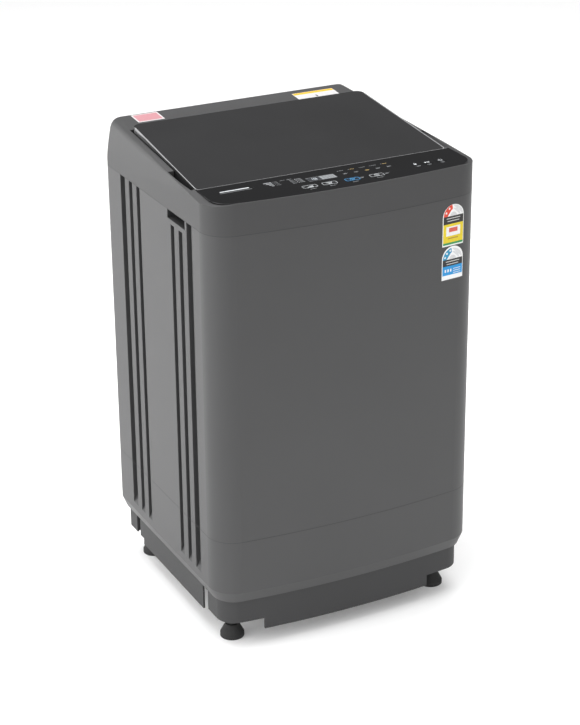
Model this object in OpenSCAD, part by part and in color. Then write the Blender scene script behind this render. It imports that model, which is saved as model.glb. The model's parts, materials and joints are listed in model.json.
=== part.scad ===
/* [Overall size] */
// Width of the cabinet across the flat sides
body_w = 540; // [500:1:650]
// Whole depth, from the front face to the ends of the water inlets
body_d = 540; // [450:1:650]
// Height of the seam between the cabinet and the top cover
seam_h = 825.6; // [680:0.1:1000]
// How far the water inlets reach behind the rear panel
inlet_reach = 38; // [30:1:50]

/* [Cabinet] */
// How far the front face bows out at its middle
front_bow = 19; // [8:1:30]
// Radius of the two front corners
corner_r = 52; // [35:1:60]
// Radius of the two rear corners
rear_r = 26; // [15:1:40]
// Thickness of the painted steel wrapper
sheet_t = 0.8; // [0.6:0.1:1.5]
// Height of the cabinet's turned-in bottom lip
lip_h = 102; // [90:1:120]
// How far the bottom lip stands in from the outer face
lip_in = 9; // [4:1:12]
// Depth of the pressed grooves in the sides
groove_deep = 8.5; // [4:0.5:10]
// Length of each hand recess
grip_len = 75; // [60:1:90]
// Height of each hand recess
grip_high = 17; // [14:1:22]

/* [Base and feet] */
// How far the base stands in from the cabinet's face
base_in = 15; // [12:1:20]
// Height of the underside of the base at the front
base_low = 31; // [25:1:40]
// Radius of the foot pads
foot_r = 23; // [18:1:28]
// Height of the foot pads
foot_h = 26; // [20:1:32]

/* [Top cover and lid] */
// Height of the control panel above the seam
panel_rise = 58.4; // [50:0.1:70]
// Distance from the front face back to the lid
panel_deep = 112; // [100:1:125]
// Length of the lid, front to rear
lid_len = 310; // [280:1:330]
// Half of the lid's width at its front edge
lid_half = 251; // [235:1:255]
// Thickness of the lid's glass
glass_t = 4; // [3:0.5:5]

/* [Tub and basket] */
// Gap between the tub's rim and the nearest wall
tub_gap = 20; // [16:1:30]
// Height of the tub floor above the ground
tub_floor_h = 300; // [280:1:320]
// Gap between the basket wall and the tub wall
basket_gap = 15; // [12:1:18]
// Radius of the pulsator
pulsator_r = 162; // [130:1:170]

/* [Drive] */
// Radius of the drive pulley's groove
pulley_r = 84; // [70:1:90]
// Radius of the motor pulley's groove
motor_pulley_r = 21; // [18:1:24]
// Distance from the drum shaft to the motor shaft
motor_reach = 140; // [136:1:150]
// Gear module of the reduction gears
gear_m = 1.5; // [1.3:0.1:1.5]

/* [Hidden] */
$fn = 96;
eps = 0.02;
fit = 0.05;
gap = 0.3;

half_w = body_w / 2;
y_front = -body_d / 2;
y_back = body_d / 2;
y_rear = y_back - inlet_reach;
bow_span = 270;
bow_r = (bow_span * bow_span + front_bow * front_bow) / (2 * front_bow);
bow_cy = y_front + bow_r;

panel_h = seam_h + panel_rise;
lid_y0 = y_front + panel_deep + 1;
lid_y1 = lid_y0 + lid_len;
lid_half_rear = lid_half - 10;
rim_slope = 4;
side_lean = 14;
plan_lean = 1.72;
lean_in = 2.4;
roll_r = 22;
roll_cuts = 4;
lid_slope = 6.1;
deck_h = panel_h - 16;
cover_t = 3;
hinge_y = lid_y1 - 8;
hinge_x = half_w - 45;
glass_z = panel_h - 2;
hinge_h = glass_z + (hinge_y - lid_y0) * tan(lid_slope) - 10.4;
pin_r = 3;

tub_y = (y_front + y_rear) / 2 + 6.5;
tub_r = min(half_w - 39, (y_rear - y_front) / 2 - tub_gap);
wall_r = tub_r - 5;
tub_t = 3;
tub_top = seam_h - 33;
ring_open = tub_r - 46;
basket_r = wall_r - tub_t - basket_gap;
basket_t = 0.6;
basket_low = tub_floor_h + 22;
basket_top = tub_top - 50;
mouth_r = tub_r - 31;
mouth_y0 = lid_y0 + 15;
mouth_y1 = lid_y1 - 23;

rod_x = half_w - 48;
rod_y0 = y_front + 65;
rod_y1 = y_rear - 44;
rod_r = 4.5;
rod_seat_h = 200;
lug_low = tub_floor_h + 6;
bracket_h = seam_h - 28.6;

shaft_r = 10;
spin_r = 16;
drum_r = 55;
drum_low = 190;
drum_high = 250;
house_r = 64;
plate_h = tub_floor_h - 17;
pulley_low = 138;
pulley_high = 158;
input_r = 9;
planet_ring = gear_m * 18;
gear_low = 204;
gear_high = 216;
pin_gear_r = 4;
motor_y = tub_y + motor_reach;
motor_r = 60;
motor_low = 190;
motor_high = 262;
axle_r = 8;

drain_x = 100;
drain_y = tub_y + 70;
drain_h = 262;
drain_drop_x = drain_x + 38;
pipe_h = 72;
pipe_r = 16;
pipe_step = 1.5;
spigot_len = 26;
stem_r = 4;
lever_x = 96;
lever_y = tub_y - 10;
lever_low = 250;
hook_x = lever_x + 24;
hook_y = lever_y + 44;

foot_x = half_w - 53;
foot_y0 = y_front + 80;
foot_y1 = y_rear - 52;
bolt_r = 5;
inlet_r = 13.2;
inlet_h = seam_h + 42;
cold_x = 100;
hot_x = 150;
hose_x = -(half_w - 80);
hose_y = y_rear - 82;
drawer_x0 = -138;
drawer_x1 = -22;
drawer_low = seam_h + 14;

key_y = y_front + 35;
key_t = 2.2;
fascia_t = 3;
fascia_low = panel_h - fascia_t;

// Plan outline of the body: a bowed front, round corners and a flat rear
module outline(inset = 0, hw = half_w, cr = corner_r, yr = y_rear, rr = rear_r) {
  kx = hw - cr;
  ky = bow_cy - sqrt(pow(bow_r - cr, 2) - kx * kx);
  ux = kx / (bow_r - cr);
  uy = (ky - bow_cy) / (bow_r - cr);
  reach = cr + 30;
  intersection() {
    translate([0, bow_cy]) circle(r = bow_r - inset, $fn = 256);
    polygon([[kx, ky], [kx + ux * reach, ky + uy * reach],
      [-kx - ux * reach, ky + uy * reach], [-kx, ky]]);
  }
  for (s = [-1, 1]) translate([s * kx, ky]) circle(r = cr - inset);
  translate([-hw + inset, ky]) square([2 * (hw - inset), yr - rr - ky]);
  translate([-hw + rr, ky]) square([2 * (hw - rr), yr - inset - ky]);
  for (s = [-1, 1]) translate([s * (hw - rr), yr - rr]) circle(r = rr - inset);
}

// The same outline drawn in towards its foot between two heights
module taper(z0, z1, i0, i1) {
  kx = half_w - corner_r;
  ky = bow_cy - sqrt(pow(bow_r - corner_r, 2) - kx * kx);
  ux = kx / (bow_r - corner_r);
  uy = (ky - bow_cy) / (bow_r - corner_r);
  reach = corner_r + 30;
  h = z1 - z0;
  intersection() {
    translate([0, bow_cy, z0]) cylinder(r1 = bow_r - i0, r2 = bow_r - i1, h = h, $fn = 256);
    translate([0, 0, z0]) linear_extrude(h) polygon([[kx, ky], [kx + ux * reach, ky + uy * reach],
      [-kx - ux * reach, ky + uy * reach], [-kx, ky]]);
  }
  for (s = [-1, 1]) {
    translate([s * kx, ky, z0]) cylinder(r1 = corner_r - i0, r2 = corner_r - i1, h = h);
    translate([s * (half_w - rear_r), y_rear - rear_r, z0])
      cylinder(r1 = rear_r - i0, r2 = rear_r - i1, h = h);
  }
  translate([0, y_rear - rear_r, 0]) rotate([90, 0, 0]) linear_extrude(y_rear - rear_r - ky)
    polygon([[-half_w + i0, z0], [half_w - i0, z0], [half_w - i1, z1], [-half_w + i1, z1]]);
  translate([-half_w + rear_r, 0, 0]) rotate([90, 0, 90]) linear_extrude(body_w - 2 * rear_r)
    polygon([[ky, z0], [y_rear - i0, z0], [y_rear - i1, z1], [ky, z1]]);
}

module at_corners() {
  for (s = [-1, 1]) for (y = [rod_y0, rod_y1]) translate([s * rod_x, y, 0]) children();
}

// Upright groove pressed into a side wall, with a sloped lower end
module groove(y, w, z0, z1, d) {
  translate([0, y + w / 2, 0]) rotate([90, 0, 0]) linear_extrude(w)
    polygon([[half_w + 5, z0 - 5], [half_w - eps, z0], [half_w - d, z0 + 16],
      [half_w - d, z1], [half_w + 5, z1]]);
}

module all_grooves(d, grow, z_extra) {
  z0 = lip_h + 38 - z_extra;
  long_top = seam_h + 1;
  short_top = seam_h - 26 + grow;
  mid = tub_y;
  for (m = [0, 1]) mirror([m, 0, 0]) {
    groove(mid + 77, 15 + 2 * grow, z0, long_top, d);
    groove(mid + 112, 15.5 + 2 * grow, z0, long_top, d);
    groove(mid + 150, 22 + 2 * grow, z0, long_top, d);
    groove(mid - 77, 15 + 2 * grow, z0, short_top, d);
    groove(mid - 112, 15.5 + 2 * grow, z0, short_top, d);
    groove(mid - 150, 22 + 2 * grow, z0, long_top, d);
  }
}

grip_y = tub_y - 94;

module cabinet() {
  bend_h = lip_h + 22.6;
  color("dimgray") difference() {
    union() {
      difference() {
        union() {
          translate([0, 0, bend_h]) linear_extrude(seam_h - bend_h) outline(0);
          taper(lip_h, bend_h, lip_in, 0);
        }
        translate([0, 0, bend_h]) linear_extrude(seam_h - bend_h + 1) outline(sheet_t);
        taper(lip_h - eps, bend_h, lip_in + sheet_t, sheet_t);
        translate([-half_w + 30, y_rear - 5, lip_h + 10])
          cube([body_w - 60, 10, seam_h - lip_h - 24]);
      }
      intersection() {
        all_grooves(groove_deep + sheet_t, sheet_t, sheet_t);
        translate([0, 0, bend_h]) linear_extrude(seam_h - bend_h) outline(sheet_t / 2);
      }
      translate([0, 0, lip_h]) linear_extrude(1.2) difference() {
        outline(lip_in + sheet_t / 2);
        outline(base_in - gap);
      }
    }
    all_grooves(groove_deep, 0, 0);
    for (m = [0, 1]) mirror([m, 0, 0])
      translate([half_w - 20, grip_y - grip_len / 2, seam_h - grip_high])
        cube([40, grip_len, grip_high + 10]);
  }
}

module rod_brackets() {
  color("silver") for (s = [-1, 1]) for (y = [0, 1]) {
    ry = y == 0 ? rod_y0 : rod_y1;
    cy = y == 0 ? -1 : 1;
    difference() {
      intersection() {
        translate([0, 0, bracket_h]) linear_extrude(3) outline(sheet_t);
        translate([0, 0, bracket_h - 1]) linear_extrude(5) polygon([
          [s * (rod_x - 42), ry + cy * 80], [s * (half_w + 20), ry + cy * 80],
          [s * (half_w + 20), ry - cy * 28], [s * (rod_x + 8), ry - cy * 28],
          [s * (rod_x - 42), ry + cy * 12]]);
      }
      translate([s * rod_x, ry, bracket_h - 1]) cylinder(r = rod_r + 2, h = 6);
    }
  }
}

module rear_panel() {
  color("gainsboro") difference() {
    union() {
      translate([-half_w + 24, y_rear, lip_h + 4])
        cube([body_w - 48, 1.2, seam_h - lip_h - 6]);
      for (s = [-1, 1]) for (k = [0:1:1])
        translate([s * (70 + 70 * k) - 7, y_rear, lip_h + 270])
          cube([14, 5, seam_h - lip_h - 340]);
    }
    for (s = [-1, 1]) for (k = [0:1:1])
      translate([s * (70 + 70 * k) - 6, y_rear - 1, lip_h + 271])
        cube([12, 5, seam_h - lip_h - 342]);
    translate([half_w - 60, y_rear - 2, lip_h + 60]) rotate([-90, 0, 0]) cylinder(r = 11, h = 8);
    translate([-80, y_rear - 1, lip_h + 60]) cube([160, 4, 140]);
    for (k = [0:1:5]) translate([-half_w + 60, y_rear - 1, seam_h - 60 - 12 * k])
      cube([60, 4, 5]);
  }
}

module service_cover() {
  color("darkgray") difference() {
    union() {
      translate([-105, y_rear + 1.2, lip_h + 35]) cube([210, 2, 190]);
      translate([-90, y_rear + 1.2, lip_h + 50]) cube([180, 14, 160]);
    }
    translate([-87.5, y_rear, lip_h + 52.5]) cube([175, 12.7, 155]);
    for (k = [0:1:4]) translate([-60, y_rear + 10, lip_h + 85 + 20 * k]) cube([120, 10, 6]);
  }
}

module screw_head() {
  rotate([-90, 0, 0]) {
    cylinder(r = 6, h = 1);
    difference() {
      translate([0, 0, 1]) cylinder(r = 4, h = 2.2);
      for (a = [0, 90]) rotate([0, 0, a]) translate([-2.5, -0.5, 2]) cube([5, 1, 3]);
    }
  }
}

module case_screws() {
  color("silver") {
    for (s = [-1, 1]) for (z = [lip_h + 14, seam_h - 14])
      translate([s * (half_w - 34), y_rear + 1.2, z]) screw_head();
    for (s = [-1, 1]) translate([s * 60, y_rear + 1.2, seam_h - 14]) screw_head();
    for (s = [-1, 1]) for (z = [lip_h + 43, lip_h + 217])
      translate([s * 97, y_rear + 3.2, z]) screw_head();
  }
}

module base_frame() {
  wall_in = base_in + 3.5;
  high = lip_h + 22;
  color("dimgray") difference() {
    union() {
      translate([0, 0, base_low]) linear_extrude(high - base_low) difference() {
        outline(base_in);
        outline(wall_in);
      }
      translate([0, 0, high - 4]) linear_extrude(4) difference() {
        outline(base_in);
        outline(base_in + 9);
      }
      translate([0, 0, lip_h - 3]) linear_extrude(3) difference() {
        outline(lip_in + 2);
        outline(base_in + 1);
      }
      for (s = [-1, 1]) for (y = [foot_y0, foot_y1]) {
        translate([s * foot_x, y, 40]) cylinder(r = 14, h = high - 40);
        translate([s < 0 ? -half_w + wall_in - 1 : foot_x, y - 2, 56])
          cube([half_w - wall_in + 1 - foot_x, 4, high - 58]);
      }
      intersection() {
        for (s = [-1, 1]) translate([s * foot_x - 2, y_front, 56])
          cube([4, foot_y0 - y_front, high - 58]);
        translate([0, 0, base_low]) linear_extrude(high - base_low) outline(base_in + 1);
      }
      for (s = [-1, 1]) translate([s * foot_x - 2, foot_y1, 56])
        cube([4, y_rear - wall_in - foot_y1 + 1, high - 58]);
    }
    for (s = [-1, 1]) {
      translate([s < 0 ? -half_w - 1 : half_w - 95, y_front - 1, base_low - 1])
        cube([96, 120, 23.5]);
      translate([s < 0 ? -half_w - 1 : half_w - 41, y_front + 115, base_low - 1])
        cube([42, y_rear - y_front - 200, 13]);
      translate([s < 0 ? -half_w - 1 : half_w - 95, y_rear - 90, base_low - 1])
        cube([96, 100, 26]);
      translate([s < 0 ? -half_w - 1 : half_w - 22, tub_y - 154, base_low - 1])
        cube([23, 22, lip_h - base_low - 8]);
      translate([s < 0 ? -half_w - 1 : half_w - 22, tub_y + 171, base_low - 1])
        cube([23, 16, lip_h - base_low - 8]);
    }
    for (s = [-1, 1]) for (y = [foot_y0, foot_y1])
      translate([s * foot_x, y, 30]) cylinder(r = bolt_r + gap, h = 66);
    translate([drain_drop_x, 0, pipe_h]) rotate([-90, 0, 0])
      cylinder(r = pipe_r + pipe_step, h = body_d);
  }
}

module drain_pipe() {
  color("gray") difference() {
    union() {
      translate([drain_drop_x, drain_y, pipe_h]) rotate([-90, 0, 0])
        cylinder(r = pipe_r + pipe_step, h = y_rear + 2 - drain_y);
      translate([drain_drop_x, y_rear + 2, pipe_h]) rotate([-90, 0, 0])
        cylinder(r = pipe_r, h = spigot_len);
      translate([drain_drop_x, y_rear + 2 + spigot_len, pipe_h]) rotate([-90, 0, 0])
        cylinder(r1 = pipe_r, r2 = pipe_r - 1.5, h = 2);
      translate([drain_drop_x, y_rear - base_in + 0.5, pipe_h]) rotate([-90, 0, 0])
        cylinder(r = pipe_r + 7, h = 5);
      translate([drain_drop_x, drain_y, pipe_h]) cylinder(r = pipe_r - 2, h = 40);
      translate([drain_drop_x, drain_y, pipe_h]) sphere(r = pipe_r + 2 * pipe_step);
    }
    translate([drain_drop_x, drain_y, pipe_h]) rotate([-90, 0, 0])
      cylinder(r = pipe_r - 3, h = body_d);
    translate([drain_drop_x, drain_y, pipe_h]) cylinder(r = pipe_r - 5, h = 60);
  }
}

module cord_gland() {
  color("black") difference() {
    translate([half_w - 60, y_rear - 6, lip_h + 60]) rotate([-90, 0, 0]) union() {
      cylinder(r = 11, h = 8);
      translate([0, 0, 7.2]) cylinder(r = 15, h = 3);
      translate([0, 0, 10]) cylinder(r1 = 11, r2 = 8, h = 16);
    }
    translate([half_w - 60, y_rear - 10, lip_h + 60]) rotate([-90, 0, 0])
      cylinder(r = 4.2, h = 50);
  }
}

// Space on the outer side of a plane through a point
module beyond_plane(point, normal) {
  n = normal / norm(normal);
  translate(point) rotate([0, -asin(n[2]), atan2(n[1], n[0])])
    translate([0, -700, -500]) cube([300, 1400, 1000]);
}

// Where the cover's leaning right side meets its rim, at a place from front to rear
function crease(y, shift, drop) =
  let (z = panel_h - drop + (y - lid_y0 - 36) * tan(rim_slope),
    foot = [half_w - lean_in - shift, y_front + panel_deep - 1, panel_h - 2.5])
  [foot[0] - (y - foot[1]) * tan(plan_lean) - (z - foot[2]) * tan(side_lean) / cos(plan_lean), y, z];

// Point of the rolled edge at the cover's rear: 0 is on the leaning side, 1 is on the rim
function roll_point(t, shift, drop) =
  let (c = crease(y_rear, shift, drop), a = 90 - side_lean, r = roll_r,
    reach = r * tan(a / 2), centre = [c[0] - reach, c[2] - r],
    turn = side_lean + t * a)
  [centre[0] + r * cos(turn), y_rear, centre[1] + r * sin(turn)];

// Everything outside the cover's leaning right side and its rolled rear edge
module lean_cut(shift, drop = 0) {
  start = crease(lid_y0 + 40, shift, drop);
  beyond_plane([half_w - lean_in - shift, y_front + panel_deep - 1, panel_h - 2.5],
    [cos(side_lean) * cos(plan_lean), cos(side_lean) * sin(plan_lean), sin(side_lean)]);
  for (k = [0:1:roll_cuts - 1]) {
    a = roll_point(k / roll_cuts, shift, drop);
    b = roll_point((k + 1) / roll_cuts, shift, drop);
    beyond_plane(start, cross(b - a, start - a));
  }
}

module rim_profile(drop) {
  flat_to = lid_y0 + 36;
  translate([-half_w - 20, 0, 0]) rotate([90, 0, 90]) linear_extrude(body_w + 40)
    polygon([[y_front - 20, seam_h - 40], [y_back + 20, seam_h - 40],
      [y_back + 20, panel_h - drop + (y_back + 20 - flat_to) * tan(rim_slope)],
      [flat_to, panel_h - drop], [y_front - 20, panel_h - drop]]);
}

module cover_block(inset, drop) {
  difference() {
    intersection() {
      translate([0, 0, seam_h - 20]) linear_extrude(200) outline(inset);
      rim_profile(drop);
    }
    for (m = [0, 1]) mirror([m, 0, 0]) lean_cut(inset, drop);
  }
}

// Trapezoid with rounded corners that the lid fills, seen from above
module lid_plan(grow) {
  lean = atan((lid_half - lid_half_rear) / lid_len);
  rf = 8;
  rb = 14;
  for (s = [-1, 1]) {
    translate([s * (lid_half - rf), lid_y0 + rf]) circle(r = rf + grow);
    translate([s * (lid_half_rear - rb), lid_y1 - rb]) circle(r = rb + grow);
  }
  ax = (rf + grow) * cos(lean);
  ay = (rf + grow) * sin(lean);
  bx = (rb + grow) * cos(lean);
  by = (rb + grow) * sin(lean);
  polygon([[-(lid_half - rf), lid_y0 - grow], [lid_half - rf, lid_y0 - grow],
    [lid_half - rf, lid_y0 + rf], [lid_half - rf + ax, lid_y0 + rf + ay],
    [lid_half_rear - rb + bx, lid_y1 - rb + by], [lid_half_rear - rb, lid_y1 - rb],
    [lid_half_rear - rb, lid_y1 + grow], [-(lid_half_rear - rb), lid_y1 + grow],
    [-(lid_half_rear - rb), lid_y1 - rb], [-(lid_half_rear - rb + bx), lid_y1 - rb + by],
    [-(lid_half - rf + ax), lid_y0 + rf + ay], [-(lid_half - rf), lid_y0 + rf]]);
}

// Slab of space under a plane that rises towards the rear
module below_plane(z, slope) {
  translate([-half_w - 20, 0, 0]) rotate([90, 0, 90]) linear_extrude(body_w + 40)
    polygon([[y_front - 20, 0], [y_back + 20, 0],
      [y_back + 20, z + (y_back + 20 - lid_y0) * tan(slope)],
      [y_front - 20, z + (y_front - 20 - lid_y0) * tan(slope)]]);
}

module mouth_plan(grow) {
  intersection() {
    translate([0, (mouth_y0 + mouth_y1) / 2]) circle(r = mouth_r + grow);
    translate([-half_w, mouth_y0 - grow]) square([body_w, mouth_y1 - mouth_y0 + 2 * grow]);
  }
}

module top_cover() {
  trough_y = lid_y1 - 25;
  strip_y = lid_y1 + 6.5;
  skirt_h = seam_h - 13;
  color("dimgray") difference() {
    union() {
      difference() {
        cover_block(0, 0);
        translate([0, 0, seam_h - 40]) linear_extrude(40) outline(-5);
        difference() {
          intersection() {
            cover_block(cover_t, 0);
            below_plane(deck_h - cover_t, rim_slope);
          }
          translate([0, 0, seam_h - 3.6]) linear_extrude(120) mouth_plan(cover_t);
          translate([-lid_half_rear + 5, trough_y - 3, deck_h + 13])
            cube([2 * lid_half_rear - 10, strip_y - trough_y + 6, 60]);
        }
        intersection() {
          cover_block(cover_t, cover_t);
          translate([-half_w, strip_y + cover_t, 0]) cube([body_w, body_d, 1200]);
        }
        intersection() {
          cover_block(cover_t, cover_t + 3);
          translate([-half_w, y_front - 50, 0])
            cube([body_w, lid_y0 - y_front + 50 - cover_t - 1, 1200]);
        }
      }
      translate([0, 0, skirt_h]) linear_extrude(seam_h - skirt_h + 2) difference() {
        outline(sheet_t + gap);
        outline(sheet_t + gap + 2.5);
      }
      translate([0, 0, seam_h]) linear_extrude(3) difference() {
        outline(1);
        outline(cover_t + 3);
      }
      translate([0, 0, seam_h - 3.6]) linear_extrude(20) difference() {
        mouth_plan(cover_t);
        mouth_plan(0);
      }
      for (m = [0, 1]) mirror([m, 0, 0])
        translate([half_w - 30, grip_y - grip_len / 2 - 2, seam_h - grip_high - 2.2])
          cube([30 - sheet_t - gap, grip_len + 4, grip_high + 5]);
    }
    for (m = [0, 1]) mirror([m, 0, 0])
      translate([half_w - 28, grip_y - grip_len / 2, seam_h - grip_high])
        cube([60, grip_len, grip_high]);
    intersection() {
      for (m = [0, 1]) mirror([m, 0, 0]) translate([half_w - 30, 0, 0])
        groove_void();
      translate([0, 0, seam_h - 40]) cube([2 * body_w, 2 * body_d, 80], center = true);
    }
    difference() {
      translate([0, 0, deck_h - 20]) linear_extrude(120) union() {
        lid_plan(1.5);
        translate([-lid_half_rear - 1.5, lid_y1 - 20]) square([2 * lid_half_rear + 3, 26.5]);
      }
      below_plane(deck_h, rim_slope);
    }
    translate([-lid_half_rear + 8, trough_y, deck_h + 16])
      cube([2 * lid_half_rear - 16, strip_y - trough_y, 60]);
    translate([0, 0, seam_h - 10]) linear_extrude(120) mouth_plan(0);
    for (m = [0, 1]) mirror([m, 0, 0]) translate([0, lid_y0 + 100, 0]) rotate([90, 0, 0])
      linear_extrude(97) polygon([[lid_half - 4, deck_h + 5], [lid_half + 2, deck_h + 5],
        [lid_half + 10.5, panel_h + 1], [lid_half + 10.5, panel_h + 20],
        [lid_half - 4, panel_h + 20]]);
    translate([0, 0, fascia_low]) linear_extrude(20) fascia_plan(0);
    translate([drawer_x0, mouth_y1 - 2, drawer_low]) cube([drawer_x1 - drawer_x0, 8, 34]);
    for (x = [cold_x, hot_x]) translate([x, y_rear - 8, inlet_h]) rotate([-90, 0, 0])
      cylinder(r = 16.5, h = 20);
    translate([-165, y_front + 18, fascia_low - 4]) cube([385, 84, 8]);
  }
  color("dimgray") for (s = [-1, 1]) difference() {
    union() {
      translate([s * hinge_x - 3.25, hinge_y, hinge_h]) rotate([0, 90, 0])
        cylinder(r = 5, h = 6.5);
      translate([s * hinge_x - 3.25, hinge_y - 5, deck_h + 12])
        cube([6.5, 10, hinge_h - deck_h - 12]);
    }
    translate([s * hinge_x - 10, hinge_y, hinge_h]) rotate([0, 90, 0])
      cylinder(r = pin_r, h = 20);
  }
}

// Room that the pressed grooves take inside the top cover's skirt
module groove_void() {
  d = groove_deep + sheet_t + gap;
  for (k = [77, 112, 150]) translate([30 - d, tub_y + k - 13.5, seam_h - 30]) cube([40, 27, 30]);
  translate([30 - d, tub_y - 150 - 13.5, seam_h - 30]) cube([40, 27, 30]);
}

module fascia_plan(inset) {
  intersection() {
    outline(1.5 + inset, half_w - 13.5, 42);
    translate([-half_w, y_front - 10]) square([body_w, panel_deep + 9.5]);
  }
}

module key_shape(x, y, w, d, grow) {
  translate([x - w / 2 - grow, y - d / 2 - grow]) square([w + 2 * grow, d + 2 * grow]);
}

module key_holes() {
  for (x = [-70, -31, 14, 63]) key_shape(x, key_y, 30, 15, gap);
  key_shape(176, key_y + 20, 20, 15, gap);
  key_shape(204, key_y + 20, 20, 15, gap);
}

module control_fascia() {
  color("black") difference() {
    translate([0, 0, fascia_low]) linear_extrude(fascia_t) fascia_plan(gap / 2);
    translate([0, 0, fascia_low - 1]) linear_extrude(10) key_holes();
    translate([-57.5, y_front + 59, fascia_low - 1]) cube([55, 19, 10]);
  }
}

module display_window() {
  color("lightgray") {
    translate([-57.5, y_front + 59, fascia_low]) cube([55, 19, fascia_t - 0.2]);
    translate([-60, y_front + 57, fascia_low - 2]) cube([60, 23, 2]);
  }
}

module control_board() {
  color("darkgreen") {
    difference() {
      translate([-130, y_front + 20, fascia_low - 18]) cube([352, 78, 8]);
      translate([-128, y_front + 22, fascia_low - 16]) cube([348, 74, 8]);
    }
    translate([-128, y_front + 22, fascia_low - 14]) cube([348, 74, 1.6]);
    for (x = [-70, -31, 14, 63]) translate([x - 3, key_y - 3, fascia_low - 12.5]) cube([6, 6, 5.4]);
    for (x = [176, 204]) translate([x - 3, key_y + 17, fascia_low - 12.5]) cube([6, 6, 5.4]);
    translate([-58, y_front + 60, fascia_low - 12.5]) cube([56, 17, 10.5]);
    translate([100, y_front + 62, fascia_low - 12.5]) cube([34, 26, 9]);
  }
}

module key_cap(x, y, w) {
  translate([0, 0, panel_h - key_t]) linear_extrude(key_t + 0.4) key_shape(x, y, w, 15, 0);
  translate([x - 2, y - 2, fascia_low - 5.5]) cube([4, 4, 6.6]);
}

module level_key() {
  color("black") key_cap(-70, key_y, 30);
}

module process_key() {
  color("black") key_cap(-31, key_y, 30);
}

module program_key() {
  color("steelblue") key_cap(14, key_y, 30);
}

module timer_key() {
  color("black") key_cap(63, key_y, 30);
}

module start_key() {
  color("black") key_cap(176, key_y + 20, 20);
}

module power_key() {
  color("black") key_cap(204, key_y + 20, 20);
}

module hinge_pins() {
  color("silver") for (s = [-1, 1]) translate([s * hinge_x - 9, hinge_y, hinge_h])
    rotate([0, 90, 0]) cylinder(r = pin_r, h = 18);
}

module drawer_housing() {
  x0 = drawer_x0;
  w = drawer_x1 - drawer_x0;
  y0 = mouth_y1 + cover_t;
  color("whitesmoke") difference() {
    union() {
      translate([x0 - 2, y0, drawer_low - 2]) cube([w + 4, 88, 38]);
      translate([drawer_x1, y_rear - 46, inlet_h - 10]) cube([14, 20, 18]);
    }
    translate([x0, y0 - 1, drawer_low]) cube([w, 87, 34]);
    translate([drawer_x1 - 10, y_rear - 36, inlet_h - 1]) rotate([0, 90, 0])
      cylinder(r = 6, h = 40);
    for (k = [0:1:6]) translate([x0 + 10 + 14 * k, y0 + 20, drawer_low - 5]) cube([8, 50, 8]);
  }
}

module detergent_drawer() {
  x0 = drawer_x0 + 1;
  w = drawer_x1 - drawer_x0 - 2;
  y0 = mouth_y1 - 1;
  color("whitesmoke") difference() {
    union() {
      translate([x0, y0, drawer_low + 1]) cube([w, 4, 31]);
      translate([x0 + 1, y0 + 3, drawer_low + 1]) cube([w - 2, 80, 24]);
      translate([x0 + w / 2 - 20, y0 - 5, drawer_low + 24]) cube([40, 6, 4]);
    }
    translate([x0 + 3, y0 + 5.5, drawer_low + 3.5]) cube([w / 2 - 5, 75, 40]);
    translate([x0 + w / 2 + 0.5, y0 + 5.5, drawer_low + 3.5]) cube([w / 2 - 4, 75, 40]);
  }
}

module inlet_valve() {
  color("whitesmoke") {
    for (x = [cold_x, hot_x]) difference() {
      union() {
        translate([x, y_rear - 20, inlet_h]) rotate([-90, 0, 0]) cylinder(r = 16, h = 22);
        translate([x, y_rear, inlet_h]) rotate([-90, 0, 0]) cylinder(r = 18, h = 14);
        translate([x, y_rear + 13, inlet_h]) rotate([-90, 0, 0])
          cylinder(r = inlet_r, h = inlet_reach - 13);
      }
      translate([x, y_rear - 10, inlet_h]) rotate([-90, 0, 0]) cylinder(r = 8.5, h = 80);
    }
    translate([cold_x - 16, y_rear - 34, inlet_h - 16]) cube([hot_x - cold_x + 32, 15, 28]);
    for (x = [cold_x, hot_x]) translate([x, y_rear - 46, inlet_h - 2]) rotate([-90, 0, 0])
      cylinder(r = 11, h = 14);
    translate([drawer_x1 + 14, y_rear - 36, inlet_h - 1]) rotate([0, 90, 0]) difference() {
      cylinder(r = 7.5, h = cold_x - 14 - drawer_x1 - 14);
      translate([0, 0, -1]) cylinder(r = 5.5, h = cold_x - 14 - drawer_x1 - 20);
    }
  }
}

module pressure_sensor() {
  color("ivory") translate([hose_x, hose_y, 0]) {
    translate([0, 0, seam_h + 4]) cylinder(r = 4, h = 6);
    translate([0, 0, seam_h + 9]) cylinder(r = 21, h = 12);
    translate([0, 0, seam_h + 20]) cylinder(r = 16, h = 14);
    translate([-3, -26, seam_h + 12]) cube([6, 52, 46 - 12]);
  }
}

module suspension_rods() {
  color("silver") at_corners() {
    translate([0, 0, rod_seat_h - 6]) cylinder(r = rod_r, h = bracket_h + 14 - rod_seat_h);
    translate([0, 0, bracket_h + 3]) cylinder(r1 = 9, r2 = 12, h = 6);
    translate([0, 0, bracket_h + 9]) cylinder(r = 9, h = 3);
    translate([0, 0, rod_seat_h]) cylinder(r = 19, h = 4);
    translate([0, 0, rod_seat_h - 8]) cylinder(r = 8, h = 8);
  }
}

// Flat label with a rounded top, stuck to the bowed front
module label(x0, x1, z0, z1) {
  r = (x1 - x0) / 2;
  step = 7.5;
  intersection() {
    difference() {
      translate([0, y_front + 70, 0]) rotate([90, 0, 0]) linear_extrude(80)
        polygon(concat([[x0, z0], [x1, z0]],
          [for (a = [0:step:180]) [x0 + r + r * cos(a), z1 - r + r * sin(a)]]));
      translate([0, 0, z0 - 1]) linear_extrude(z1 - z0 + 2) outline(0);
    }
    translate([0, 0, z0 - 2]) linear_extrude(z1 - z0 + 4) outline(-0.35);
  }
}

module energy_label() {
  color("gold") label(half_w - 85, half_w - 38, seam_h - 91, seam_h - 12.5);
}

module water_label() {
  color("deepskyblue") label(half_w - 85, half_w - 38, seam_h - 156, seam_h - 92.5);
}

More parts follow.
